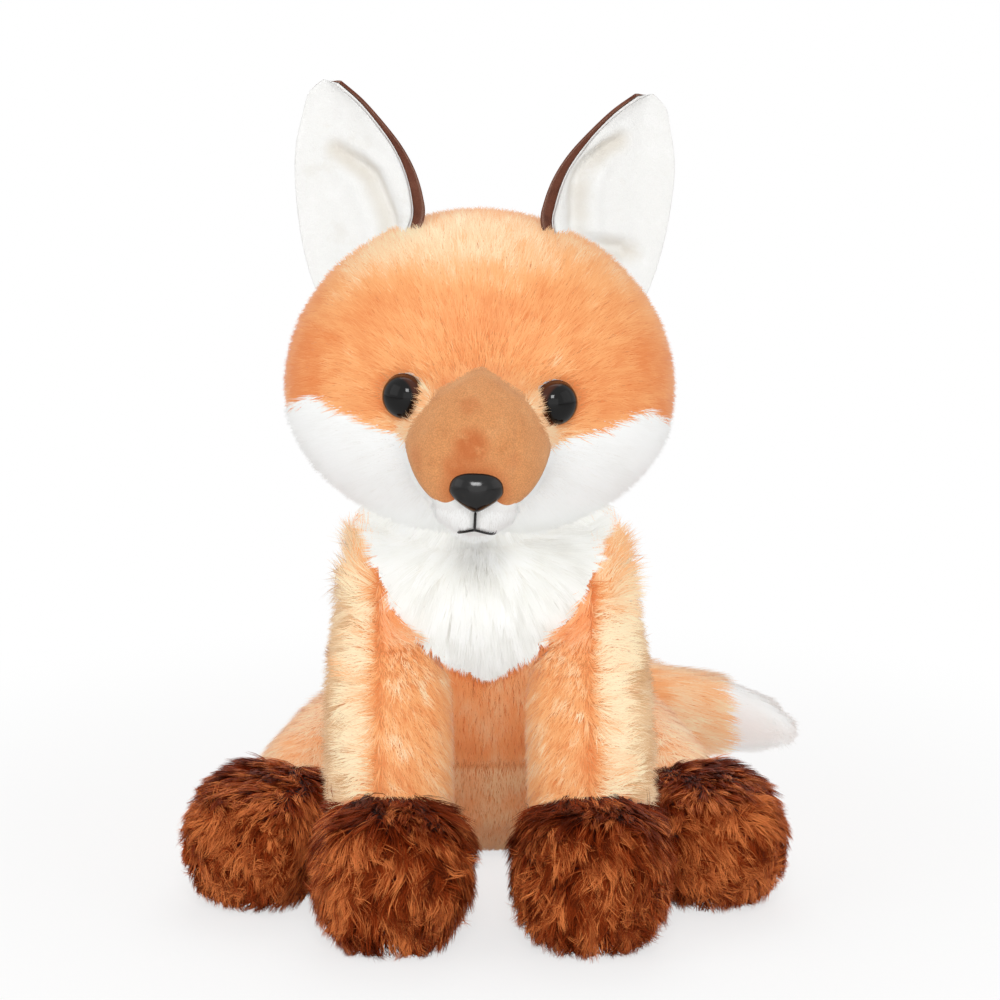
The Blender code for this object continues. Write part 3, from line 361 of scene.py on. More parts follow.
def moulded_finish(name, colour, rim_colour, rim_start, rim_end, middle, axis, roughness=0.04, gloss=0.24):
    """Polished moulded plastic, browner towards its rim."""
    material, tree, shader = new_material(name)
    place = tree.nodes.new("ShaderNodeTexCoord").outputs["Object"]
    away = tree.nodes.new("ShaderNodeVectorMath")
    away.operation = "SUBTRACT"
    wire(tree, place, away.inputs[0])
    away.inputs[1].default_value = middle
    along = tree.nodes.new("ShaderNodeVectorMath")
    along.operation = "CROSS_PRODUCT"
    wire(tree, away.outputs[0], along.inputs[0])
    along.inputs[1].default_value = axis
    length = tree.nodes.new("ShaderNodeVectorMath")
    length.operation = "LENGTH"
    wire(tree, along.outputs[0], length.inputs[0])
    rim = ranged(tree, length.outputs["Value"], rim_start, rim_end)
    wire(tree, mix(tree, rim, colour, rim_colour), shader.inputs["Base Color"])
    wear = noise(tree, place, 900.0, 3)
    wire(tree, ranged(tree, wear, 0.3, 0.7, roughness, roughness + 0.05), shader.inputs["Roughness"])
    shader.inputs["Specular IOR Level"].default_value = gloss
    return material


suede_nap = {"blotch": 110.0, "grain": 2200.0, "dark_amount": 0.55, "bump": 0.6, "depth": 0.0004,
             "sheen": 0.4, "fleck_shares": (1.3, 0.7)}
pile_finish("orange_pile", shade(234, 134, 68), shade(251, 179, 116), shade(254, 238, 200),
            shade(246, 212, 188), 0.6)
pile_finish("white_pile", shade(242, 242, 240), shade(249, 250, 249), shade(253, 253, 253),
            shade(251, 250, 248), 0.5, sheen=0.2, gloss=0.3)
pile_finish("bib_fur", shade(234, 233, 229), shade(247, 247, 244), shade(252, 252, 251),
            shade(250, 248, 245), 0.7, sheen=0.15, gloss=0.3)
pile_finish("dark_pile", shade(70, 16, 2), shade(146, 54, 16), shade(236, 140, 78), shade(190, 130, 105),
            0.7, sheen=0.0, gloss=0.4, shine=shade(255, 150, 96))
# Beige pile for the front legs' outer edges; its duller colour is painted shade.
pile_finish("sandy_pile", shade(190, 138, 92), shade(226, 180, 132), shade(248, 224, 186),
            shade(244, 214, 192), 0.6)
pile_finish("tan_pile", shade(232, 140, 82), shade(255, 174, 108), shade(255, 214, 164),
            shade(244, 212, 190), 0.6)
cloth_finish("orange_backing", shade(228, 140, 82), shade(205, 110, 55), shade(240, 165, 110))
cloth_finish("white_backing", shade(246, 245, 243), shade(240, 238, 235), shade(250, 250, 249))
cloth_finish("dark_backing", shade(70, 24, 10), shade(45, 14, 6), shade(100, 40, 20))
cloth_finish("tan_backing", shade(232, 156, 100), shade(190, 125, 78), shade(228, 172, 124))
cloth_finish("brown_suede", shade(216, 148, 94), shade(198, 124, 72), shade(226, 164, 112),
             tint=shade(255, 214, 176), rubbed_and_shade=shade(190, 98, 48),
             places=[((-0.0035, -0.1208, 0.1595), 0.015, 0.85), ((-0.0048, -0.1227, 0.1755), 0.008, 0.75),
                     ((-0.01, -0.1215, 0.169), 0.006, 0.5), ((-0.0051, -0.116, 0.1878), 0.005,
        0.35), ((-0.0215, -0.112, 0.17), 0.006, 0.35), ((0.008, -0.119, 0.17), 0.005, 0.35)], **suede_nap)
cloth_finish("white_velour", shade(238, 238, 236), shade(231, 229, 225), shade(244, 244, 243), blotch=70.0,
             grain=1500.0, dark_amount=0.5, bump=0.3, depth=0.0003, sheen=0.2, fleck=0.025)
cloth_finish("brown_velour", shade(104, 58, 42), shade(70, 34, 24), shade(140, 92, 72), blotch=120.0,
             grain=2400.0, bump=0.5, depth=0.0003, sheen=0.5, tint=shade(220, 180, 160))
cloth_finish("black_thread", shade(22, 20, 20), shade(10, 9, 9), shade(48, 45, 44), blotch=900.0,
             grain=5000.0, bump=0.6, depth=0.0002, sheen=0.2)
cloth_finish("washer_plastic", shade(222, 221, 219), shade(212, 211, 208), shade(230, 229, 228),
             blotch=200.0, grain=3000.0, bump=0.05, depth=0.0001, sheen=0.0)
cloth_finish("fibre", shade(238, 237, 235), shade(222, 221, 219), shade(246, 246, 245), blotch=260.0,
             grain=1500.0, bump=0.8, depth=0.0008, sheen=0.4)


# Forms
cad = {}
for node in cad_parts:
    cad[node] = arrays(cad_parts[node])
cad_trees = {node: tree_of(*cad[node]) for node in cad}


def remeshed(name, nodes, voxel, rounds):
    """One closed, rounded form over CAD solids."""
    points, triangles, count = [], [], 0
    for node in nodes:
        points.append(cad[node][0])
        triangles.append(cad[node][1] + count)
        count += len(cad[node][0])
    rough = mesh_piece(name, np.vstack(points), np.vstack(triangles))
    remesh = rough.modifiers.new("remesh", "REMESH")
    remesh.mode, remesh.voxel_size = "VOXEL", voxel
    soften = rough.modifiers.new("soften", "SMOOTH")
    soften.factor, soften.iterations = 0.5, rounds
    mesh = bpy.data.meshes.new_from_object(rough.evaluated_get(bpy.context.evaluated_depsgraph_get()))
    rough.modifiers.clear()
    rough.data = mesh
    points, triangles = arrays(rough)
    bpy.data.objects.remove(rough)
    points, triangles = largest_part(points, triangles)
    a, b, c = (points[triangles[:, k]] for k in range(3))
    if np.einsum("ij,ij->i", a, np.cross(b, c)).sum() < 0:
        triangles = triangles[:, ::-1]
    return points, triangles


def largest_part(points, triangles):
    """Only the connected part with the most points."""
    label = np.arange(len(points))
    while True:
        low = label[triangles].min(axis=1)
        after = label.copy()
        for k in range(3):
            np.minimum.at(after, triangles[:, k], low)
        after = after[after]
        if (after == label).all():
            break
        label = after
    values, counts = np.unique(label, return_counts=True)
    keep = label == values[counts.argmax()]
    index = np.cumsum(keep) - 1
    inside = keep[triangles].all(axis=1)
    return points[keep], index[triangles[inside]]


def head_surface(directions):
    """The head's surface along directions from its middle: a rounded loaf and its muzzle."""
    x, y, z = directions.T
    depth = np.where(y < 0, head_front, head_back)
    height = np.where(z > 0, head_rise, head_drop)
    loaf = 1 / np.sqrt((x / head_half_width) ** 2 + (y / depth) ** 2 + (z / height) ** 2)
    ahead = -y * math.cos(muzzle_dip) - z * math.sin(muzzle_dip)
    safe = np.maximum(ahead, 1e-3)
    rise = (-y * math.sin(muzzle_dip) + z * math.cos(muzzle_dip)) / safe
    spread = np.where(rise > 0, math.tan(muzzle_top_spread), math.tan(muzzle_bottom_spread))
    away = np.minimum(np.hypot(x / safe / math.tan(muzzle_side_spread), rise / spread), 20)
    swell = np.where(ahead > 0, muzzle_reach * np.exp(-(away ** muzzle_bluntness)), 0)
    return directions * (loaf + swell)[:, None]


def on_face(x, z):
    """Points of the head's front at given x and z, from the middle of the head."""
    x, z = np.asarray(x, float), np.asarray(z, float)
    y = np.full(x.shape, -0.07)
    for _ in range(40):
        radius = np.linalg.norm(head_surface(unit(np.stack([x, y, z], -1))), axis=-1)
        y = 0.5 * y - 0.5 * np.sqrt(np.maximum(radius ** 2 - x ** 2 - z ** 2, 1e-8))
    return np.stack([x, y, z], -1)


def head_shape(columns, rows):
    axis = np.array((0, -math.cos(muzzle_dip), -math.sin(muzzle_dip)))
    above = np.array((0, -math.sin(muzzle_dip), math.cos(muzzle_dip)))
    share = np.arange(1, rows + 1) / (rows + 1)
    polar = math.pi * (0.72 * share + 0.28 * share ** 2)
    angle = 2 * math.pi * (np.arange(columns) + 0.5) / columns
    across = np.cos(angle)[:, None] * np.array((1, 0, 0)) + np.sin(angle)[:, None] * above
    directions = axis * np.cos(polar)[:, None, None] + across[None] * np.sin(polar)[:, None, None]
    rings = head_surface(directions.reshape(-1, 3)).reshape(rows, columns, 3)
    ends = head_surface(np.stack([axis, -axis]))
    points, triangles = ring_form(rings, ends[0], ends[1])
    return placed(points, head_place), triangles


def nearest_of(points, nodes):
    """For each point, the place in nodes of the CAD solid whose surface is nearest."""
    trees = [cad_trees[node] for node in nodes]
    distances = np.empty((len(points), len(nodes)))
    for row, point in enumerate(points.tolist()):
        for column, tree in enumerate(trees):
            hit = tree.find_nearest(point)
            distances[row, column] = hit[3]
    return distances.argmin(axis=1)


def backing(name, form, covers, finish_names, inset, body, stands_for):
    """The stuffed backing cloth under the pile, with each cover's colour where that cover is."""
    points, triangles = form
    normals = normals_of(points, triangles)
    inner = points - normals * inset
    piece = mesh_piece(name, inner, triangles)
    label = nearest_of(points[triangles].mean(axis=1), covers)
    for finish_name in finish_names:
        piece.data.materials.append(finishes[finish_name])
    piece.data.polygons.foreach_set("material_index", label.astype(np.int32))
    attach(piece, body)
    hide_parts(*stands_for)
    return piece


def sown(form, density, inset, covers, seed):
    """Roots spread evenly over a form: their places, normals and the cover that each is on."""
    points, triangles = form
    normals = normals_of(points, triangles)
    dice = np.random.default_rng(seed)
    a, b, c = (points[triangles[:, k]] for k in range(3))
    area = np.linalg.norm(np.cross(b - a, c - a), axis=1) / 2
    count = int(area.sum() * density)
    pick = dice.choice(len(triangles), count, p=area / area.sum())
    r, s = dice.random(count), dice.random(count)
    fold = r + s > 1
    r[fold], s[fold] = 1 - r[fold], 1 - s[fold]
    share = np.stack([1 - r - s, r, s], -1)[:, :, None]
    places = (points[triangles[pick]] * share).sum(axis=1)
    facing = unit((normals[triangles[pick]] * share).sum(axis=1))
    label = nearest_of(places, covers)
    return places, facing, label, places - facing * inset


def pile(name, roots, facing, flow, length, lift, tone, finish, body, seed, stands_for=(),
         width=0.00027, bend=0.35, clump=0.3, clump_size=14, tangle=0.12, twist=0.25, crisp=0.3,
         fleck=0.05, tuft_fleck=0.08, cuts=(0, 0.5, 1)):
    """Strands of pile as flat tapering blades, laid along the flow and drawn together in tufts."""
    dice = np.random.default_rng(seed)
    count = len(roots)
    length = np.broadcast_to(length, count) * dice.uniform(0.75, 1.08, count)
    lift = np.radians(np.broadcast_to(lift, count)) * dice.uniform(0.75, 1.25, count)
    flow = unit(flow) + dice.normal(size=(count, 3)) * tangle
    along = unit(flow - facing * np.einsum("ij,ij->i", flow, facing)[:, None])
    rise = along * np.cos(lift)[:, None] + facing * np.sin(lift)[:, None]
    curl = along * bend - facing * bend * 0.45
    steps = np.array(cuts, float)
    spine = roots[:, None] + length[:, None, None] * (rise[:, None] * steps[None, :, None]
                                                      + curl[:, None] * (steps ** 2)[None, :, None])
    leaders = dice.choice(count, max(count // clump_size, 1), replace=False)
    tree = KDTree(len(leaders))
    for k, point in enumerate(spine[leaders, -2].tolist()):
        tree.insert(point, k)
    tree.balance()
    tuft = np.array([tree.find(point)[1] for point in spine[:, -2].tolist()])
    pull = (steps ** 1.6)[None, :, None] * (clump * dice.uniform(0.5, 1.0, count))[:, None, None]
    spine = spine + (spine[leaders[tuft]] - spine) * pull
    ahead = unit(np.gradient(spine, axis=1))
    sway = along * dice.normal(size=(count, 1)) * twist * 0.5
    turned = facing + sway + np.cross(along, facing) * dice.normal(size=(count, 1)) * twist
    across = unit(np.cross(ahead, turned[:, None]))
    last = len(steps) - 1
    half = np.interp(steps, (0, 0.4, 0.75, 1), (0.8, 1.0, 0.75, 0.0))[None, :, None] * width / 2
    points = np.concatenate([(spine - across * half)[:, :last], (spine + across * half)[:, :last],
                             spine[:, last:]], axis=1)
    pattern = [face for k in range(last - 1)
               for face in ((k, k + last, k + last + 1), (k, k + last + 1, k + 1))]
    pattern = np.array(pattern + [(last - 1, 2 * last - 1, 2 * last)])
    size = 2 * last + 1
    faces = (np.arange(count) * size)[:, None, None] + pattern[None]
    piece = mesh_piece(name, points.reshape(-1, 3), faces.reshape(-1, 3))
    blade = unit(np.cross(across, ahead))
    blade *= np.sign(np.einsum("ijk,ik->ij", blade, facing))[:, :, None]
    soft = unit(blade * crisp + facing[:, None])
    lean = across * crisp * 0.6
    shading = np.concatenate([unit(soft - lean)[:, :last], unit(soft + lean)[:, :last], soft[:, last:]],
                             axis=1)
    normal = piece.data.attributes.new("custom_normal", "FLOAT_VECTOR", "POINT")
    normal.data.foreach_set("vector", shading.reshape(-1).astype(np.float32))
    tone = tone + dice.normal(size=count) * fleck + (dice.normal(size=len(leaders)) * tuft_fleck)[tuft]
    tone = np.clip(tone, 0.03, 0.97)
    sideways = np.repeat((-0.006, 0.006, 0), (last, last, 1))
    upward = np.concatenate([steps[:last], steps[:last], steps[last:]]) * 0.98 + 0.01
    chart = np.stack([tone[:, None] + sideways[None], np.broadcast_to(upward, (count, size))], -1)
    layer = piece.data.uv_layers.new(name="OFBake")
    layer.uv.foreach_set("vector", chart.reshape(-1, 2)[faces.reshape(-1)].reshape(-1).astype(np.float32))
    piece.data.materials.append(finishes[finish])
    piece.visible_shadow = finish == "dark_pile"
    piece.visible_diffuse = finish == "dark_pile" or body == "body"
    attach(piece, body)
    if stands_for:
        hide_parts(*stands_for)
    return piece


# Head
head_form = head_shape(112, 84)
head_covers = ["head_crown_cover", "cheek_cover_left", "cheek_cover_right", "muzzle_cover", "chin_cover"]
backing("head_backing", head_form, head_covers,
        ["orange_backing", "white_backing", "white_backing", "orange_backing", "white_backing"],
        root_depth + 0.0004, "head", ["head_filling"])
body_form = remeshed("body", ["body_cover", "chest_bib", "belly_cover", "body_filling"], 0.0030, 8)
body_covers = ["body_cover", "chest_bib", "belly_cover"]
backing("body_backing", body_form, body_covers, ["orange_backing", "white_backing", "tan_backing"],
        root_depth, "body", ["body_filling"])
limb_forms = {}
for kind in ("front", "hind"):
    for side in sides:
        nodes = [f"{kind}_leg_cover_{side}", f"{kind}_leg_filling_{side}", f"{kind}_paw_cover_{side}"]
        limb_forms[kind, side] = remeshed("limb", nodes, 0.0024, 6)
        backing(f"{kind}_leg_backing_{side}", limb_forms[kind, side], [nodes[0], nodes[2]],
                ["orange_backing", "dark_backing"], root_depth, f"{kind}_leg_{side}", [nodes[1]])
tail_form = remeshed("tail", ["tail_cover", "tail_filling", "tail_tip_cover"], 0.0022, 6)
backing("tail_backing", tail_form, ["tail_cover", "tail_tip_cover"], ["orange_backing", "white_backing"],
        root_depth, "tail", ["tail_filling"])
neck_form = remeshed("neck", ["neck_filling"], 0.0020, 5)
neck = mesh_piece("neck_wad", *neck_form)
neck.visible_shadow = False
for name in ("head_backing", "front_leg_backing_left", "front_leg_backing_right", "tail_backing"):
    bpy.data.objects[name].visible_shadow = bpy.data.objects[name].visible_diffuse = False
neck.data.materials.append(finishes["fibre"])
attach(neck, "neck")
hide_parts("neck_filling")


def to_head(points):
    return placed(points, head_place.inverted())


def head_flow(places):
    """Pile brushed outwards from the muzzle, and down over the back of the head."""
    local = to_head(places)
    flow = unit(local - np.array((0, -0.062, -0.006)))
    flow[:, 2] -= 1.3 * step(local[:, 1], 0.015, 0.05)
    flow[:, 2] -= 0.35 * step(np.abs(local[:, 0]), 0.03, 0.06)
    return flow @ np.array(head_place.to_3x3()).T


def make_head_pile():
    places, facing, label, roots = sown(head_form, strands_per_area["head"], root_depth, head_covers, 11)
    flow = head_flow(places)
    local = to_head(places)
    x, y, z = local.T
    crown = label == 0
    front = y < 0
    beside_eye = np.zeros(len(x))
    for sign in sides.values():
        near = np.hypot(x - sign * eye_side, z - eye_height)
        crown &= ~((near < 0.0078) & front)
        inner_edge = step(-near, -0.0125, -0.0095) * step(-sign * (x - sign * eye_side), -0.001,
                0.004) * front
        beside_eye += inner_edge * step(eye_height - z, -0.0055, -0.0015)
    face_share = step(-y, 0.030, 0.052)
    tone = 0.33 + 0.08 * waves(places, 0.030, 3) + 0.07 * waves(places, 0.009, 4)
    # Painted highlight: the top of the forehead is made paler, the more so towards negative x; the front of
    # the face is made a little deeper.
    tone += step(z, 0.030, 0.056) * step(-y, -0.005, 0.020) * (0.46 - 4.5 * x) - 0.03 * face_share
    tone += 0.26 * beside_eye
    tone += 0.32 * np.exp(-((np.abs(x) - 0.0275) / 0.0075) ** 2 - ((z + 0.0075) / 0.0045) ** 2) * front
    far_side = step(np.abs(x), 0.042, 0.060) * step(-np.abs(z - 0.010), -0.022, -0.008)
    tone -= (0.20 + 0.12 * waves(places, 0.008, 109)) * far_side
    face = step(-y, 0.036, 0.056)
    length = 0.0074 - 0.0022 * face + 0.0016 * beside_eye
    lift = 27 + 25 * beside_eye
    for side, sign in sides.items():
        half = crown & (sign * x > 0)
        pile(f"crown_pile_{side}", roots[half], facing[half], flow[half], length[half], lift[half],
             tone[half], "orange_pile", "head", 21 + sign, ["head_crown_cover"],
             tangle=0.22, fleck=0.06, tuft_fleck=0.05, clump=0.25)
        tufts = np.repeat(np.flatnonzero(half & (beside_eye > 0.35)), 3)
        scatter = np.random.default_rng(24 + sign).normal(size=(len(tufts), 3)) * 0.0004
        pile(f"brow_tuft_{side}", roots[tufts] + scatter, facing[tufts], flow[tufts], 0.0068, 48,
             np.full(len(tufts), 0.70), "orange_pile", "head", 26 + sign, width=0.00022,
             tangle=0.2)
        cheek = label == (1 if side == "left" else 2)
        pile(f"cheek_pile_{side}", roots[cheek], facing[cheek], flow[cheek],
             (0.0095 - 0.0045 * step(-y, 0.030, 0.052))[cheek], 24, 0.5 + 0.15 * waves(places, 0.02,
                5)[cheek], "white_pile", "head", 31 + sign, [f"cheek_cover_{side}"])


make_head_pile()


def bib_flow(places):
    """Bib pile brushed out from the throat and down to the point between the front legs."""
    flow = unit(places - np.array((-0.0044, -0.055, 0.150)))
    beside = step(np.abs(places[:, 0] + 0.004), 0.012, 0.032)
    flow[:, 2] -= 0.3 + 0.6 * step(-places[:, 2], -0.102, -0.086)
    flow[:, 0] += np.sign(places[:, 0]) * 0.25 * beside
    return flow


def seen_on_bib(points):
    """Where the camera sees points, on an upright plane at the front of the bib: sideways and height."""
    share = bib_plane_distance / (points[:, 1] + camera_back)
    return points[:, 0] * share, camera_height + (points[:, 2] - camera_height) * share


def inside_bib(points, margin):
    """True where points are seen inside the bib's pointed edge, at least the margin away from it."""
    sideways, height = seen_on_bib(points)
    return (np.abs(sideways) < np.interp(height, *zip(*bib_edge)) - margin) & (points[:, 1] < -0.030)


def beside_bib(points):
    """True in the narrow band of orange plush between the bib's edge and the inner edges of the leg tops."""
    sideways, height = seen_on_bib(points)
    outside = ~inside_bib(points, 0.0030) & (points[:, 1] < -0.030)
    return outside & (((np.abs(sideways) < 0.0375) & (height > 0.0985) & (height < 0.130))
                      | ((np.abs(sideways) < np.minimum(0.0475, 0.0475 - 0.45 * (height - 0.137)))
                         & (height >= 0.130) & (height < 0.1440)))


def make_bib_sheet():
    """The stuffed cloth under the bib's pile, over the chest and the tops of the front legs."""
    trees = [tree_of(*form) for form in (body_form, neck_form, limb_forms["front", "left"],
                                         limb_forms["front", "right"])]
    eye = Vector((0, -camera_back, camera_height))
    across, upward = np.arange(-0.050, 0.0505, 0.001), np.arange(0.078, 0.1475, 0.001)
    ahead = np.zeros((len(upward), len(across)))
    for row, height in enumerate(upward):
        for column, sideways in enumerate(across):
            way = (Vector((sideways, bib_plane, height)) - eye).normalized()
            found = [hit[0].y for hit in (tree.ray_cast(eye, way) for tree in trees) if hit[0] is not None]
            ahead[row, column] = -min(found) if found else 0.046
    wide = 8
    offsets = range(-wide, wide + 1)
    disc = [(r, c) for r in offsets for c in offsets if r * r + c * c <= wide * wide]
    rows, columns = ahead.shape
    for choose in (np.maximum, np.minimum):
        padded = np.pad(ahead, wide, mode="edge")
        shifted = [padded[wide + r:wide + r + rows, wide + c:wide + c + columns] for r, c in disc]
        ahead = choose.reduce(shifted)
    for _ in range(24):
        padded = np.pad(ahead, 1, mode="edge")
        around = padded[:-2, 1:-1] + padded[2:, 1:-1] + padded[1:-1, :-2] + padded[1:-1, 2:]
        ahead = (around + 4 * ahead) / 8
    share = ((camera_back - ahead) / bib_plane_distance).ravel()
    flat_x, flat_z = (grid.ravel() for grid in np.meshgrid(across, upward))
    heights = camera_height + (flat_z - camera_height) * share
    points = np.stack([flat_x * share, -ahead.ravel(), heights], -1)
    index = np.arange(len(points)).reshape(ahead.shape)
    a, b, c, d = (k.ravel() for k in (index[:-1, :-1], index[:-1, 1:], index[1:, 1:], index[1:, :-1]))
    triangles = np.vstack([np.stack([a, b, c], -1), np.stack([a, c, d], -1)])
    kept = inside_bib(points, 0.0030) | beside_bib(points)
    triangles = triangles[kept[triangles].all(axis=1)]
    used = np.unique(triangles)
    renumber = np.zeros(len(points), int)
    renumber[used] = np.arange(len(used))
    return points[used], renumber[triangles]


def bib_reach(places, facing, flow, lift, longest):
    """The longest strand at each place that stays inside the bib's pointed edge, or 0 for none."""
    along = unit(flow - facing * np.einsum("ij,ij->i", flow, facing)[:, None])
    lift = np.radians(np.broadcast_to(lift, len(places)))
    way = along * (np.cos(lift) + 0.2)[:, None] + facing * np.sin(lift)[:, None]
    reach = np.zeros(len(places))
    tufts = 0.0008 + 0.0022 * waves(places, 0.005, 107)
    for share in (0.30, 0.45, 0.60, 0.80, 1.00):
        sideways, height = seen_on_bib(places + way * (longest * share)[:, None])
        half_width = np.interp(height, *zip(*bib_edge)) + tufts
        held = (np.abs(sideways) < half_width) & (height > bib_edge[0][0] - 0.0005)
        reach = np.where(held, longest * share, reach)
    return reach


def make_neck_pile():
    places, facing, label, roots = sown(neck_form, strands_per_area["neck"], 0.0005, ["neck_filling"], 91)
    flow = unit(places - np.array((neck_middle.x, neck_middle.y, 0.150))) + np.array((0, 0, -0.4))
    front = places[:, 1] < neck_middle.y + 0.004
    front &= np.abs(places[:, 0] - neck_middle.x) > 0.016
    for name, part, finish, slot in (("neck_front_pile", front, "white_pile", "white_plush"),
                                     ("neck_back_pile", places[:, 1] >= neck_middle.y + 0.004,
                                      "orange_pile", "orange_plush")):
        pile(name, roots[part], facing[part], flow[part], 0.0130, 42, np.full(part.sum(), 0.5), finish,
             "neck", 92, width=0.00030, cuts=fine_cuts)


make_neck_pile()


def body_flow(places):
    flow = np.zeros_like(places)
    flow[:, 2] = -1
    flow[:, 0] += 0.35 * np.tanh(places[:, 0] / 0.012)
    flow[:, 1] += 0.25 * step(places[:, 1], -0.05, 0.03)
    return flow


def make_body_pile():
    places, facing, label, roots = sown(body_form, strands_per_area["body"], root_depth, body_covers, 41)
    off_floor = places[:, 2] > floor_clearance
    flow = body_flow(places)
    tone = 0.45 + 0.14 * waves(places, 0.030, 6) + 0.12 * waves(places, 0.010, 7)
    under = inside_bib(places, 0.0) & (label != 2)
    between = (places[:, 1] < -0.030) & (np.abs(places[:, 0]) < 0.036) & (places[:, 2] < 0.112)
    between &= ~under & (label != 2)
    back = (label != 2) & off_floor & ~under & ~between
    high, behind = step(places[:, 2], 0.105, 0.125), step(places[:, 1], -0.030, 0.0)
    pile("body_pile", roots[back], facing[back], flow[back], (0.0100 + 0.0040 * high * behind)[back],
         (26 + 22 * high * behind)[back], tone[back],
         "orange_pile", "body", 42, ["body_cover"])
    below = step(-places[:, 2], -belly_seam_height - 0.0008, -belly_seam_height + 0.0008)
    seam = np.abs(places[:, 2] - belly_seam_height) < belly_seam_half_width
    over_seam = places[:, 2] - belly_seam_height
    # Painted light: below the seam the pile is made paler, lifting the shade low between the legs; just over
    # the seam it is a little deeper.
    belly_tone = tone + 0.10 + 0.32 * below - 0.10 * step(-np.abs(over_seam), -0.0022, -0.0006)
    belly_length = 0.0060 - 0.0022 * below - 0.0032 * step(-over_seam, -0.0070, -0.0040) * (over_seam > 0)
    for name, part, stands in (("belly_pile", label == 2, ["belly_cover"]),
                               ("belly_top_pile", between, [])):
        belly = part & off_floor & ~seam
        pile(name, roots[belly], facing[belly], flow[belly] * (0.2, 1, 1), belly_length[belly], 28,
             belly_tone[belly], "tan_pile", "body", 43, stands, fleck=0.04, tuft_fleck=0.04,
             clump_size=8, tangle=0.2)


def make_bib_pile():
    points, triangles = make_bib_sheet()
    backing_cloth = mesh_piece("bib_backing", points, triangles)
    for finish in ("white_backing", "orange_backing"):
        backing_cloth.data.materials.append(finishes[finish])
    outside = ~inside_bib(points[triangles].mean(axis=1), 0.0005)
    backing_cloth.data.polygons.foreach_set("material_index", outside.astype(np.int32))
    backing_cloth.visible_shadow = False
    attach(backing_cloth, "body")
    places, facing, label, roots = sown((points, triangles), strands_per_area["bib"], 0.0004,
                                        ["chest_bib"], 46)
    spread = bib_flow(places)
    lift = 30 + 6 * step(np.abs(places[:, 0]), 0.010, 0.030) + 4 * step(places[:, 2], 0.122, 0.132)
    length = bib_reach(places, facing, spread, lift, np.full(len(places), 0.0150))
    bib = (length > 0) & inside_bib(places, 0.0)
    pile("bib_pile", roots[bib], facing[bib], spread[bib], length[bib], lift[bib],
         0.5 + 0.22 * waves(places, 0.012, 8)[bib], "bib_fur", "body", 44, ["chest_bib"],
         width=0.00034, bend=0.25, clump=0.55, clump_size=24, crisp=0.5, tuft_fleck=0.14, cuts=fine_cuts)
    band = beside_bib(places) & ~inside_bib(places, -0.0004)
    top = step(seen_on_bib(places)[1], 0.128, 0.136)
    flow = np.stack([np.sign(places[:, 0]) * (-0.15 * top - 0.25), 0 * places[:, 0], 1.7 * top - 1], -1)
    pile("shoulder_front_pile", roots[band], facing[band], flow[band], 0.0075, 40,
         (0.56 + 0.14 * top + 0.12 * waves(places, 0.01, 108))[band], "orange_pile", "body",
         47, tangle=0.24, fleck=0.08)


make_bib_pile()
make_body_pile()


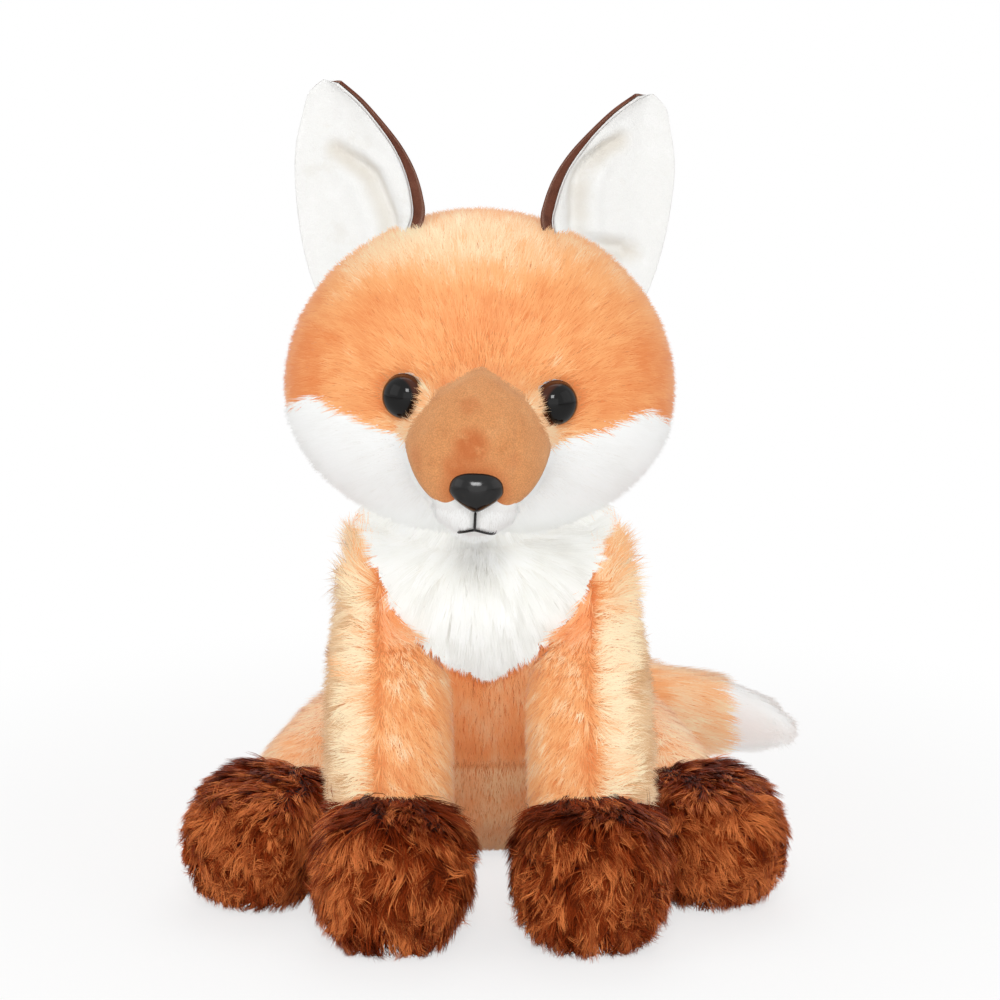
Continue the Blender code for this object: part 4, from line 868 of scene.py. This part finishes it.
def make_limb_pile():
    for (kind, side), form in limb_forms.items():
        sign = sides[side]
        hind = kind == "hind"
        covers = [f"{kind}_leg_cover_{side}", f"{kind}_paw_cover_{side}"]
        places, facing, label, roots = sown(form, strands_per_area["leg"], root_depth, covers,
                                            51 + 2 * sign + hind)
        off_floor = places[:, 2] > floor_clearance
        low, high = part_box(covers[0])
        paw_low, paw_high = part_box(covers[1])
        middle = (low.x + high.x) / 2
        outer = sign * (places[:, 0] - middle) / ((high.x - low.x) / 2)
        flow = np.zeros_like(places)
        if hind:
            flow[:, 2] = -0.8
            flow[:, 0] = sign * 0.5
            flow[:, 1] = -0.6
            tone = 0.50 + 0.22 * step(places[:, 2], 0.03, 0.05)
            length, lift = 0.0080, 26
        else:
            seam = leg_seams[side]
            parted = step(outer, seam - 0.06, seam + 0.14)
            flow[:, 2] = -1 + 0.80 * parted
            flow[:, 0] = sign * (-0.22 + 1.3 * parted)
            flow[:, 1] = 0.5 * parted
            shown = outer + 0.20 * parted
            # Painted sheen: a pale cream band where the parted pile turns outward, paler still at the outer
            # edge; seam_shade is painted shade along the parting.
            band = step(shown, seam + 0.10, seam + 0.30) * step(-shown, -1.02, -0.80)
            seam_shade = 0.18 * np.exp(-((outer - seam) / 0.08) ** 2)
            tone = 0.50 + 0.44 * band - seam_shade + 0.10 * step(shown, 0.85, 1.0)
            shoulder_top = step(places[:, 2], 0.108, 0.124)
            flow[:, 0] -= sign * 0.8 * shoulder_top * parted
            flow[:, 2] += 0.75 * shoulder_top
            ruffle = np.stack([waves(places, 0.014, k) for k in (101, 102, 103)], -1)
            flow += (0.12 + 0.38 * parted)[:, None] * ruffle
            covered = step(places[:, 2], 0.082, 0.096) * step(-np.abs(places[:, 0]), -0.046, -0.038)
            fluff = (leg_top_fluff[side] + 0.0010) * shoulder_top
            length = 0.0052 + 0.0028 * parted + fluff - 0.0030 * covered
            lift = 36 - 10 * parted + 24 * shoulder_top - 12 * covered
            tone = tone - 0.28 * shoulder_top
        tone = tone + 0.10 * waves(places, 0.024, 9) + 0.10 * waves(places, 0.009, 10)
        leg = (label == 0) & off_floor
        length, lift = np.broadcast_to(length, len(places)), np.broadcast_to(lift, len(places))
        if not hind:
            leg &= ~inside_bib(places, 0.0010)
            # Painted shade: a duller beige pile along the legs' outer edges, where the pile bends away.
            ragged = 0.16 * waves(places, 0.016, 104) + 0.10 * waves(places, 0.006, 105)
            sandy = leg & (shown + ragged > 0.80)
            pile(f"sandy_edge_pile_{side}", roots[sandy], facing[sandy], flow[sandy], length[sandy],
                 lift[sandy], 0.5 + 0.3 * waves(places, 0.007, 106)[sandy], "sandy_pile",
                 f"front_leg_{side}", 65 + sign, tangle=0.25, fleck=0.08)
            leg &= ~sandy
        pile(f"{kind}_leg_pile_{side}", roots[leg], facing[leg], flow[leg], length[leg], lift[leg],
             tone[leg], "orange_pile", f"{kind}_leg_{side}", 61 + 2 * sign + hind,
             [covers[0]], tangle=0.24, fleck=0.08, clump_size=10)
        paw = label == 1
        inward, backward = (0.014, 0.016) if hind else (0.0, 0.012)
        top = np.array(((paw_low.x + paw_high.x) / 2 - sign * inward,
                        (paw_low.y + paw_high.y) / 2 + backward, paw_high.z + 0.004))
        flow = unit(places - top) + 0.55 * np.stack([waves(places, 0.015, k) for k in (12, 13, 14)], -1)
        tone = (0.46 if hind else 0.33) + 0.26 * waves(places, 0.013, 15) + 0.12 * waves(places, 0.008, 16)
        # Painted sheen: the paw pile is made paler and more copper away from the paw's top and on its sides
        # that face sideways.
        away = np.linalg.norm(places - top, axis=1) / 0.050
        tone += 0.24 * step(away, 0.45, 0.95) + 0.16 * step(np.abs(facing[:, 0]), 0.45, 0.95)
        long, high_lift = (0.0092, 34) if hind else (0.0108, 41)
        long, high_lift = np.where(off_floor, long, 0.0055)[paw], np.where(off_floor, high_lift, 5)[paw]
        pile(f"{kind}_paw_pile_{side}", roots[paw], facing[paw], flow[paw], long, high_lift, tone[paw],
             "dark_pile", f"{kind}_leg_{side}", 71 + 2 * sign + hind, [covers[1]],
             width=0.00029, bend=0.40, clump=0.72, clump_size=20, tangle=0.25, crisp=0.8, twist=0.55,
             fleck=0.09, tuft_fleck=0.18, cuts=fine_cuts)


make_limb_pile()


def make_tail_pile():
    places, facing, label, roots = sown(tail_form, strands_per_area["tail"], root_depth,
                                        ["tail_cover", "tail_tip_cover"], 81)
    off_floor = places[:, 2] > floor_clearance
    x = places[:, 0] / 0.121
    flow = np.stack([np.ones(len(x)), 0.9 - 2.2 * x, -0.15 + 0 * x], -1)
    tone = 0.60 + 0.14 * waves(places, 0.02, 17) + 0.12 * step(places[:, 0], 0.05, 0.09)
    cover = (label == 0) & off_floor
    pile("tail_pile", roots[cover], facing[cover], flow[cover], 0.0110, 28, tone[cover], "orange_pile",
         "tail", 82, ["tail_cover"])
    tip = (label == 1) & off_floor
    pile("tail_tip_pile", roots[tip], facing[tip], flow[tip], 0.0090, 24,
         0.6 + 0.2 * waves(places, 0.02, 18)[tip], "white_pile", "tail", 83,
         ["tail_tip_cover"], width=0.00030, clump=0.3, clump_size=20, crisp=0.15, twist=0.15,
         cuts=fine_cuts)


make_tail_pile()


# Face
def outline_points(shares, width, low, high, count, rounds=40):
    """Evenly spaced points of a closed outline given by its right half."""
    half = [(x * width, z * (high if z > 0 else low)) for x, z in shares]
    corners = np.array(half + [(-x, z) for x, z in reversed(half) if x > 0] + half[:1])
    lengths = np.concatenate([[0], np.cumsum(np.linalg.norm(np.diff(corners, axis=0), axis=1))])
    at = np.linspace(0, lengths[-1], count, endpoint=False)
    line = np.stack([np.interp(at, lengths, corners[:, k]) for k in range(2)], -1)
    for _ in range(rounds):
        line = (np.roll(line, 1, axis=0) + 2 * line + np.roll(line, -1, axis=0)) / 4
    return line


def face_patch(name, outline, middle, rows, lift, sink, finish, stands_for, extra=None):
    """A cloth panel of the face: it follows the head, stands proud in the middle and dives in at its seam."""
    columns = len(outline)
    shares = np.linspace(1, 0, rows + 1)[:-1]
    flat = np.array(middle) + (outline[None] - np.array(middle)) * shares[:, None, None]
    surface = on_face(flat[..., 0].ravel(), flat[..., 1].ravel())
    away = unit(surface * np.array((1, 0.8, 1)))
    share = np.repeat(shares, columns)
    rise = lift * np.sqrt(np.maximum(1 - share ** 4, 0)) - sink * step(share, 0.86, 1.0)
    points = surface + away * rise[:, None]
    if extra is not None:
        points = points + away * extra(surface)[:, None]
    tip = on_face(np.array([middle[0]]), np.array([middle[1]]))[0]
    tip = tip + unit(tip[None] * np.array((1, 0.8, 1)))[0] * lift
    inner = points[:columns] * np.array((0.86, 0.90, 0.86))
    grid = np.vstack([inner, points]).reshape(rows + 1, columns, 3)
    tip_in = grid[0].mean(axis=0)
    full, triangles = ring_form(grid, tip_in, tip)
    piece = mesh_piece(name, placed(full, head_place), triangles)
    piece.data.materials.append(finishes[finish])
    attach(piece, "head")
    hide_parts(*stands_for)
    return piece


def saddle_darts(surface):
    """Two faint darts beside the bridge."""
    x, z = surface[:, 0], surface[:, 2]
    lines = sum(np.exp(-((x - s * 0.0125) / 0.0007) ** 2) for s in (-1, 1))
    darts = lines * step(-np.abs(z + 0.008), -0.012, -0.008)
    return -0.0005 * darts


def chin_puff(surface):
    """The stuffed lips and chin under the nose."""
    x, z = surface[:, 0], surface[:, 2]
    puff = 0.0030 * np.exp(-((z + 0.0400) / 0.0065) ** 2) + 0.0042 * np.exp(-((z + 0.0455) / 0.0045) ** 2)
    return puff * np.exp(-(x / 0.0125) ** 4)


bridge_line = outline_points(bridge_shares, bridge_half_width, -bridge_bottom, bridge_top, 200, 24)
saddle = face_patch("muzzle_saddle", bridge_line * 1.06, (0, -0.008), 36, 0.0004, 0.0030, "brown_suede",
                    ["muzzle_cover"], saddle_darts)
chin_line = outline_points(chin_shares, chin_half_width, head_drop, head_drop, 120)
chin_line = chin_line * np.array((0.92, 1.02)) + np.array((0, 0.0025))
chin_patch = face_patch("chin_patch", chin_line, (0, -0.034), 28, 0.0002, 0.0030, "white_velour",
                        ["chin_cover"], chin_puff)


for panel in (chin_patch, saddle):
    panel.visible_shadow = panel.visible_diffuse = False


def mouth_lines():
    """Where the mouth is stitched, from the middle of the head: the smile and the stitch up to the nose."""
    share = np.linspace(-0.85, 1.15, 33)
    curve = on_face(share * mouth_half_width, mouth_height - mouth_drop * np.abs(share) ** 1.3)
    down = on_face(np.zeros(21), np.linspace(mouth_top, mouth_height, 21))
    return [line + unit(line * np.array((1, 0.8, 1))) * (chin_puff(line) + 0.0010)[:, None]
            for line in (curve, down)]


def make_chin_pile():
    places, facing, label, roots = sown(arrays(chin_patch), strands_per_area["chin"], 0.0002,
                                        ["chin_cover"], 95)
    local = to_head(places)
    stitched = KDTree(54)
    for k, point in enumerate(np.vstack(mouth_lines())):
        stitched.insert(point, k)
    stitched.balance()
    clear = np.array([stitched.find(point)[2] > 0.0021 for point in local.tolist()])
    below_nose = local[:, 2] < -0.0275 - 0.0015 * step(np.abs(local[:, 0]), 0.004, 0.008)
    keep = clear & (local[:, 1] < -0.020) & (facing[:, 1] < 0.5) & below_nose
    flow = head_flow(places)
    flow[:, 2] -= 0.3
    pile("chin_pile", roots[keep], facing[keep], flow[keep], 0.0022, 38, np.full(keep.sum(), 0.55),
         "white_pile", "head", 96, width=0.00016, clump=0.2)


make_chin_pile()


def turned_piece(profile, place, axis, columns):
    """A moulded piece turned round an axis from radius and height."""
    turn = Vector((0, 0, 1)).rotation_difference(axis).to_matrix()
    angle = 2 * math.pi * np.arange(columns) / columns
    rings = np.array([[(r * math.cos(a), r * math.sin(a), h) for a in angle] for r, h in profile[1:-1]])
    points, triangles = ring_form(rings, (0, 0, profile[0][1]), (0, 0, profile[-1][1]))
    points = points @ np.array(turn).T + np.array(place)
    return placed(points, head_place), triangles


def make_eyes():
    for side, sign in sides.items():
        axis = Vector((sign * math.sin(eye_azimuth), -math.cos(eye_azimuth), 0))
        place = on_face(np.array([sign * eye_side]), np.array([eye_height]))[0]
        sunk = 0.0016
        profile = [(0, eye_dome - sunk)]
        profile += [(eye_radius * math.sin(a), eye_dome * math.cos(a) - sunk)
                    for a in np.linspace(0.05, math.pi / 2, 22)]
        profile += [(eye_radius + 0.0002, -sunk - 0.0003), (eye_radius + 0.0004, -sunk - 0.0007),
                    (eye_radius + 0.0003, -sunk - 0.0010), (eye_radius - 0.001, -sunk - 0.0011),
                    (0.0022, -sunk - 0.0011), (0.0022, -0.0150), (0, -0.0150)]
        points, triangles = turned_piece(profile, place, axis, 72)
        low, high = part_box(f"eye_{side}")
        shift = (np.array(low) + np.array(high)) / 2 - (points.min(axis=0) + points.max(axis=0)) / 2
        points = points + shift
        piece = mesh_piece(f"eye_dome_{side}", points, triangles)
        turned_axis = (head_place.to_3x3() @ axis).normalized()
        centre = (points.min(axis=0) + points.max(axis=0)) / 2
        piece.data.materials.append(moulded_finish(f"eye_plastic_{side}", shade(9, 8, 8), shade(70, 32,
                14), 0.0064, 0.0074, tuple(centre), tuple(turned_axis)))
        piece.data.set_sharp_from_angle(angle=math.radians(50))
        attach(piece, "head")
        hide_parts(f"eye_{side}")


make_eyes()


def make_nose():
    rows, columns = 40, 72
    polar = math.pi * np.arange(1, rows + 1) / (rows + 1)
    angle = 2 * math.pi * np.arange(columns) / columns
    y, ring = -np.cos(polar)[:, None], np.sin(polar)[:, None]
    squareness = np.where(np.sin(angle) > 0, 2.6, 2.0)
    x = ring * (np.sign(np.cos(angle)) * np.abs(np.cos(angle)) ** (2 / squareness))[None]
    z = ring * (np.sign(np.sin(angle)) * np.abs(np.sin(angle)) ** (2 / squareness))[None]
    narrowing = 1 - 0.55 * np.maximum(-z, 0) ** 1.5
    rings = np.stack([x * nose_half_width * narrowing, np.broadcast_to(y, x.shape) * nose_depth,
                      z * nose_half_height], -1)
    points, triangles = ring_form(rings, (0, -nose_depth, 0), (0, nose_depth, 0))
    slit = np.exp(-((np.abs(points[:, 0]) - 0.0045) / 0.0012) ** 2
                  - ((points[:, 2] + 0.0012) / 0.0014) ** 2)
    points[:, 1] += 0.0006 * slit * (points[:, 1] < 0)
    place = on_face(np.array([0.0]), np.array([nose_height]))[0]
    points = placed(points + place, head_place)
    low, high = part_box("nose")
    shift = np.array(low)[1] - points[:, 1].min()
    points[:, 1] += shift
    points[:, 0] += (low.x + high.x) / 2 - (points[:, 0].min() + points[:, 0].max()) / 2
    piece = mesh_piece("nose_moulding", points, triangles)
    centre = (points.min(axis=0) + points.max(axis=0)) / 2
    piece.data.materials.append(moulded_finish("nose_plastic", shade(14, 13, 13), shade(34, 30,
            28), 0.006, 0.009, tuple(centre), (0, -1, 0), roughness=0.13, gloss=0.36))
    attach(piece, "head")
    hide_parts("nose")


make_nose()


def thread_tube(points, radius, columns=10):
    """A round thread along points, closed at both ends."""
    points = np.asarray(points)
    ahead = unit(np.gradient(points, axis=0))
    up = unit(np.cross(ahead, np.array((0, 1, 0))))
    out = np.cross(up, ahead)
    angle = 2 * math.pi * np.arange(columns) / columns
    taper = np.ones(len(points))
    taper[0] = taper[-1] = 0.6
    rings = points[:, None] + radius * taper[:, None, None] * (up[:, None] * np.cos(angle)[None, :, None]
            + out[:, None] * np.sin(angle)[None, :, None])
    return ring_form(rings, points[0], points[-1])


def make_mouth():
    parts, faces, count = [], [], 0
    for line in mouth_lines():
        points, triangles = thread_tube(line, 0.00046)
        parts.append(points)
        faces.append(triangles + count)
        count += len(points)
    piece = mesh_piece("mouth_thread", placed(np.vstack(parts), head_place), np.vstack(faces))
    piece.data.materials.append(finishes["black_thread"])
    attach(piece, "head")
    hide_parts("mouth_stitching")


make_mouth()


# Ears
def ear_point(sign, row, across):
    inner_x, inner_z, outer_x, outer_z = smooth(ear_shares, row)
    outer_x += 0.05 * float(step(row, 0.72, 1.0))
    share = (across + 1) / 2
    x = (inner_x + (outer_x - inner_x) * share) * ear_reach
    z = (inner_z + (outer_z - inner_z) * share) * ear_height
    y = ear_depth + (ear_turn * across - ear_cup * across ** 2) * (1 - row / 2)
    return np.array((sign * x + ear_side_shift, y, z))


ear_pleats = {"right": [[(-0.56, 0.02), (-0.55, 0.13), (-0.53, 0.21), (-0.49, 0.29), (-0.43, 0.37),
                         (-0.38, 0.45), (-0.24, 0.50), (-0.05, 0.543), (0.16, 0.585)]],
              "left": [[(-0.42, 0.02), (-0.48, 0.15), (-0.56, 0.28), (-0.64, 0.36), (-0.69, 0.43),
                        (-0.71, 0.50), (-0.66, 0.58), (-0.54, 0.65), (-0.33, 0.69)],
                       [(-0.15, 0.165), (0.05, 0.18), (0.26, 0.20), (0.49, 0.217)]]}


def from_pleat(line, row, across):
    """How far a place of the ear is from a pleat, in metres, and how far along the pleat, from 0 to 1."""
    size = np.array((0.019, 0.070))
    point, line = np.array((across, row)) * size, np.array(line) * size
    start, way = line[:-1], np.diff(line, axis=0)
    along = np.clip(((point - start) * way).sum(axis=1) / (way ** 2).sum(axis=1), 0, 1)
    away = np.linalg.norm(point - start - way * along[:, None], axis=1)
    nearest = away.argmin()
    return away[nearest], (nearest + along[nearest]) / len(way)


def ear_creases(side, row, across):
    """How far forward the lining stands where it is pleated and gathered into the head."""
    height = 0.0006 * (1 - row) * math.sin(9 * row + 4 * across) * math.sin(5 * across - 3 * row)
    for line in ear_pleats[side]:
        away, along = from_pleat(line, row, across)
        fade = 1 - float(step(along, 0.75, 1.0)) * 0.6
        fold, slope = 0.0036 * math.exp(-(away / 0.0024) ** 2), 0.0016 * math.exp(-(away / 0.0070) ** 2)
        height -= fade * (fold + slope)
        height += fade * 0.0012 * math.exp(-((away - 0.0060) / 0.0026) ** 2)
    return height


def pleat_places():
    """The shaded middles of the pleats, for the lining's cloth."""
    places = []
    for side, sign in sides.items():
        for line in ear_pleats[side]:
            for across, row in line[1:]:
                middle = tuple(placed(ear_point(sign, row, across)[None], head_place)[0])
                places.append((middle, 0.0068, 0.75))
    return places


# Painted shade: a greyer colour laid round the middles of the lining's pleats.
cloth_finish("pleated_velour", shade(242, 242, 240), shade(234, 232, 227), shade(247, 247, 246),
             fleck=0.012, rubbed_and_shade=shade(222, 215, 203), places=pleat_places(), ragged_scale=60.0, core=0.0,
             **suede_nap)


def from_ear_edge(row, across):
    """0 at the edge of an ear, 1 well inside it."""
    return min(1.0, 2.2 * min(1 - abs(min(max(across, -1), 1)), (1 - row) * 2.5))


def ear_cloth(name, side, low, high, wrap, finish, node):
    """One cloth of an ear: a thin shell with a rounded edge, behind or before the middle sheet."""
    sign = sides[side]
    rows, columns = 72, 56
    places = list(np.linspace(-1 if wrap else -0.975, 1, columns))
    if wrap:
        places = [-1 - k / 4 for k in range(4, 0, -1)] + places
    heights = np.arange(rows) / (rows - 1)
    reach = wrap * (0.40 + 1.0 * (1 - heights) ** 1.2)
    grid = np.array([[ear_point(sign, r, a if a > -1 else -1 + (a + 1) * k) for a in places]
                     for r, k in zip(heights, reach)])
    upward, sideways = np.gradient(grid, axis=0), np.gradient(grid, axis=1)
    behind = unit(np.cross(sideways, upward))
    behind *= np.sign(behind[..., 1:2])
    crease = np.array([[ear_creases(side, r, a) for a in places] for r in heights])[..., None]
    edge = np.array([[from_ear_edge(r, a) for a in places] for r in heights])
    rounding = (0.25 + 0.75 * np.sqrt(np.clip(edge, 0, 1)))[..., None]
    front_side = low + (high - low) * (1 - rounding) * 0.5
    back_side = high - (high - low) * (1 - rounding) * 0.5
    follow = behind * (np.maximum(-crease, 0) - 0.25 * np.maximum(crease, 0))
    if low < 0:
        front, back = grid + behind * front_side - behind * crease, grid + behind * high + follow
    else:
        front, back = grid + behind * low + follow, grid + behind * back_side + follow
    count = rows * len(places)
    index = np.arange(count).reshape(rows, len(places))
    quads = np.stack([index[:-1, :-1], index[:-1, 1:], index[1:, 1:], index[1:, :-1]], -1).reshape(-1, 4)
    rim = np.concatenate([index[0], index[1:, -1], index[-1, -2::-1], index[-2:0:-1, 0]])
    after = np.roll(rim, -1)
    walls = np.stack([rim, after, after + count, rim + count], -1)
    quads = np.vstack([quads, quads[:, ::-1] + count, walls])
    if sign < 0:
        quads = quads[:, ::-1]
    points = placed(np.vstack([front.reshape(-1, 3), back.reshape(-1, 3)]), head_place)
    piece = mesh_piece(name, points, quads)
    piece.data.materials.append(finishes[finish])
    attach(piece, f"ear_{side}")
    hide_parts(node)


for side in sides:
    ear_cloth(f"ear_front_cloth_{side}", side, -0.00165, -0.00015, 0, "pleated_velour",
              f"ear_lining_{side}")
    ear_cloth(f"ear_rear_cloth_{side}", side, 0.00015, 0.00165, ear_wrap_share, "brown_velour",
              f"ear_back_{side}")

for node in ("eye_washer_left", "eye_washer_right", "nose_washer"):
    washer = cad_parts[node]
    washer.data.materials.clear()
    washer.data.materials.append(finishes["washer_plastic"])


# Studio
def make_floor():
    floor = mesh_piece("studio_floor", [(-4, -4, 0), (4, -4, 0), (4, 4, 0), (-4, 4, 0)], [(0, 1, 2, 3)])
    material, tree, shader = new_material("studio_paper")
    shader.inputs["Base Color"].default_value = (0.96, 0.96, 0.96, 1)
    shader.inputs["Roughness"].default_value = 0.9
    shader.inputs["Specular IOR Level"].default_value = 0.1
    glow = tree.nodes.new("ShaderNodeEmission")
    glow.inputs["Color"].default_value = (1, 1, 1, 1)
    path = tree.nodes.new("ShaderNodeLightPath")
    away = tree.nodes.new("ShaderNodeVectorMath")
    away.operation = "LENGTH"
    wire(tree, tree.nodes.new("ShaderNodeTexCoord").outputs["Object"], away.inputs[0])
    seen = tree.nodes.new("ShaderNodeMath")
    seen.operation = "MULTIPLY"
    wire(tree, path.outputs["Is Camera Ray"], seen.inputs[0])
    wire(tree, ranged(tree, away.outputs["Value"], 0.13, 0.36, 0.70, 1.0), seen.inputs[1])
    blend = tree.nodes.new("ShaderNodeMixShader")
    wire(tree, seen.outputs[0], blend.inputs[0])
    wire(tree, shader.outputs[0], blend.inputs[1])
    wire(tree, glow.outputs[0], blend.inputs[2])
    wire(tree, blend.outputs[0], tree.nodes["Material Output"].inputs["Surface"])
    floor.data.materials.append(material)


def make_world():
    world = bpy.data.worlds.new("studio")
    world.use_nodes = True
    bpy.context.scene.world = world
    tree = world.node_tree
    tree.nodes.clear()
    path = tree.nodes.new("ShaderNodeLightPath")
    either = tree.nodes.new("ShaderNodeMath")
    either.operation = "MAXIMUM"
    mirrored = tree.nodes.new("ShaderNodeMath")
    mirrored.operation = "MAXIMUM"
    wire(tree, path.outputs["Is Glossy Ray"], mirrored.inputs[0])
    wire(tree, path.outputs["Is Transmission Ray"], mirrored.inputs[1])
    wire(tree, path.outputs["Is Camera Ray"], either.inputs[0])
    wire(tree, mirrored.outputs[0], either.inputs[1])
    light = tree.nodes.new("ShaderNodeBackground")
    light.inputs["Color"].default_value = (1.0, 0.99, 0.98, 1)
    light.inputs["Strength"].default_value = 0.50
    white = tree.nodes.new("ShaderNodeBackground")
    white.inputs["Color"].default_value = (1, 1, 1, 1)
    white.inputs["Strength"].default_value = 1.0
    blend = tree.nodes.new("ShaderNodeMixShader")
    wire(tree, either.outputs[0], blend.inputs[0])
    wire(tree, light.outputs[0], blend.inputs[1])
    wire(tree, white.outputs[0], blend.inputs[2])
    out = tree.nodes.new("ShaderNodeOutputWorld")
    wire(tree, blend.outputs[0], out.inputs["Surface"])


def make_lamp(name, place, size, power, target=(0, -0.03, 0.14)):
    lamp = bpy.data.lights.new(name, "AREA")
    lamp.shape, lamp.size, lamp.energy = "SQUARE", size, power
    holder = bpy.data.objects.new(name, lamp)
    holder.location = place
    holder.rotation_euler = (Vector(target) - Vector(place)).to_track_quat("-Z", "Y").to_euler()
    bpy.context.scene.collection.objects.link(holder)


def make_camera():
    lens = bpy.data.cameras.new("studio_camera")
    lens.lens, lens.sensor_width, lens.shift_x = 100.3, 36.0, 0.0145
    lens.clip_start, lens.clip_end = 0.05, 50
    holder = bpy.data.objects.new("studio_camera", lens)
    holder.location = (0, -camera_back, camera_height)
    holder.rotation_euler = (camera_tilt, 0, 0)
    bpy.context.scene.collection.objects.link(holder)
    bpy.context.scene.camera = holder


make_floor()
make_world()
make_lamp("front_softbox", (0.0, -1.30, 0.96), 0.36, 7.0)
make_lamp("left_softbox", (-1.40, -0.80, 0.90), 1.2, 3.2)
make_lamp("right_softbox", (1.40, -0.60, 0.80), 1.2, 1.8)
make_lamp("low_softbox", (0.1, -1.50, 0.14), 1.2, 3)
make_lamp("rear_softbox", (0.1, 0.70, 1.50), 1.2, 6)
make_camera()
bpy.context.scene.view_settings.view_transform = "Standard"
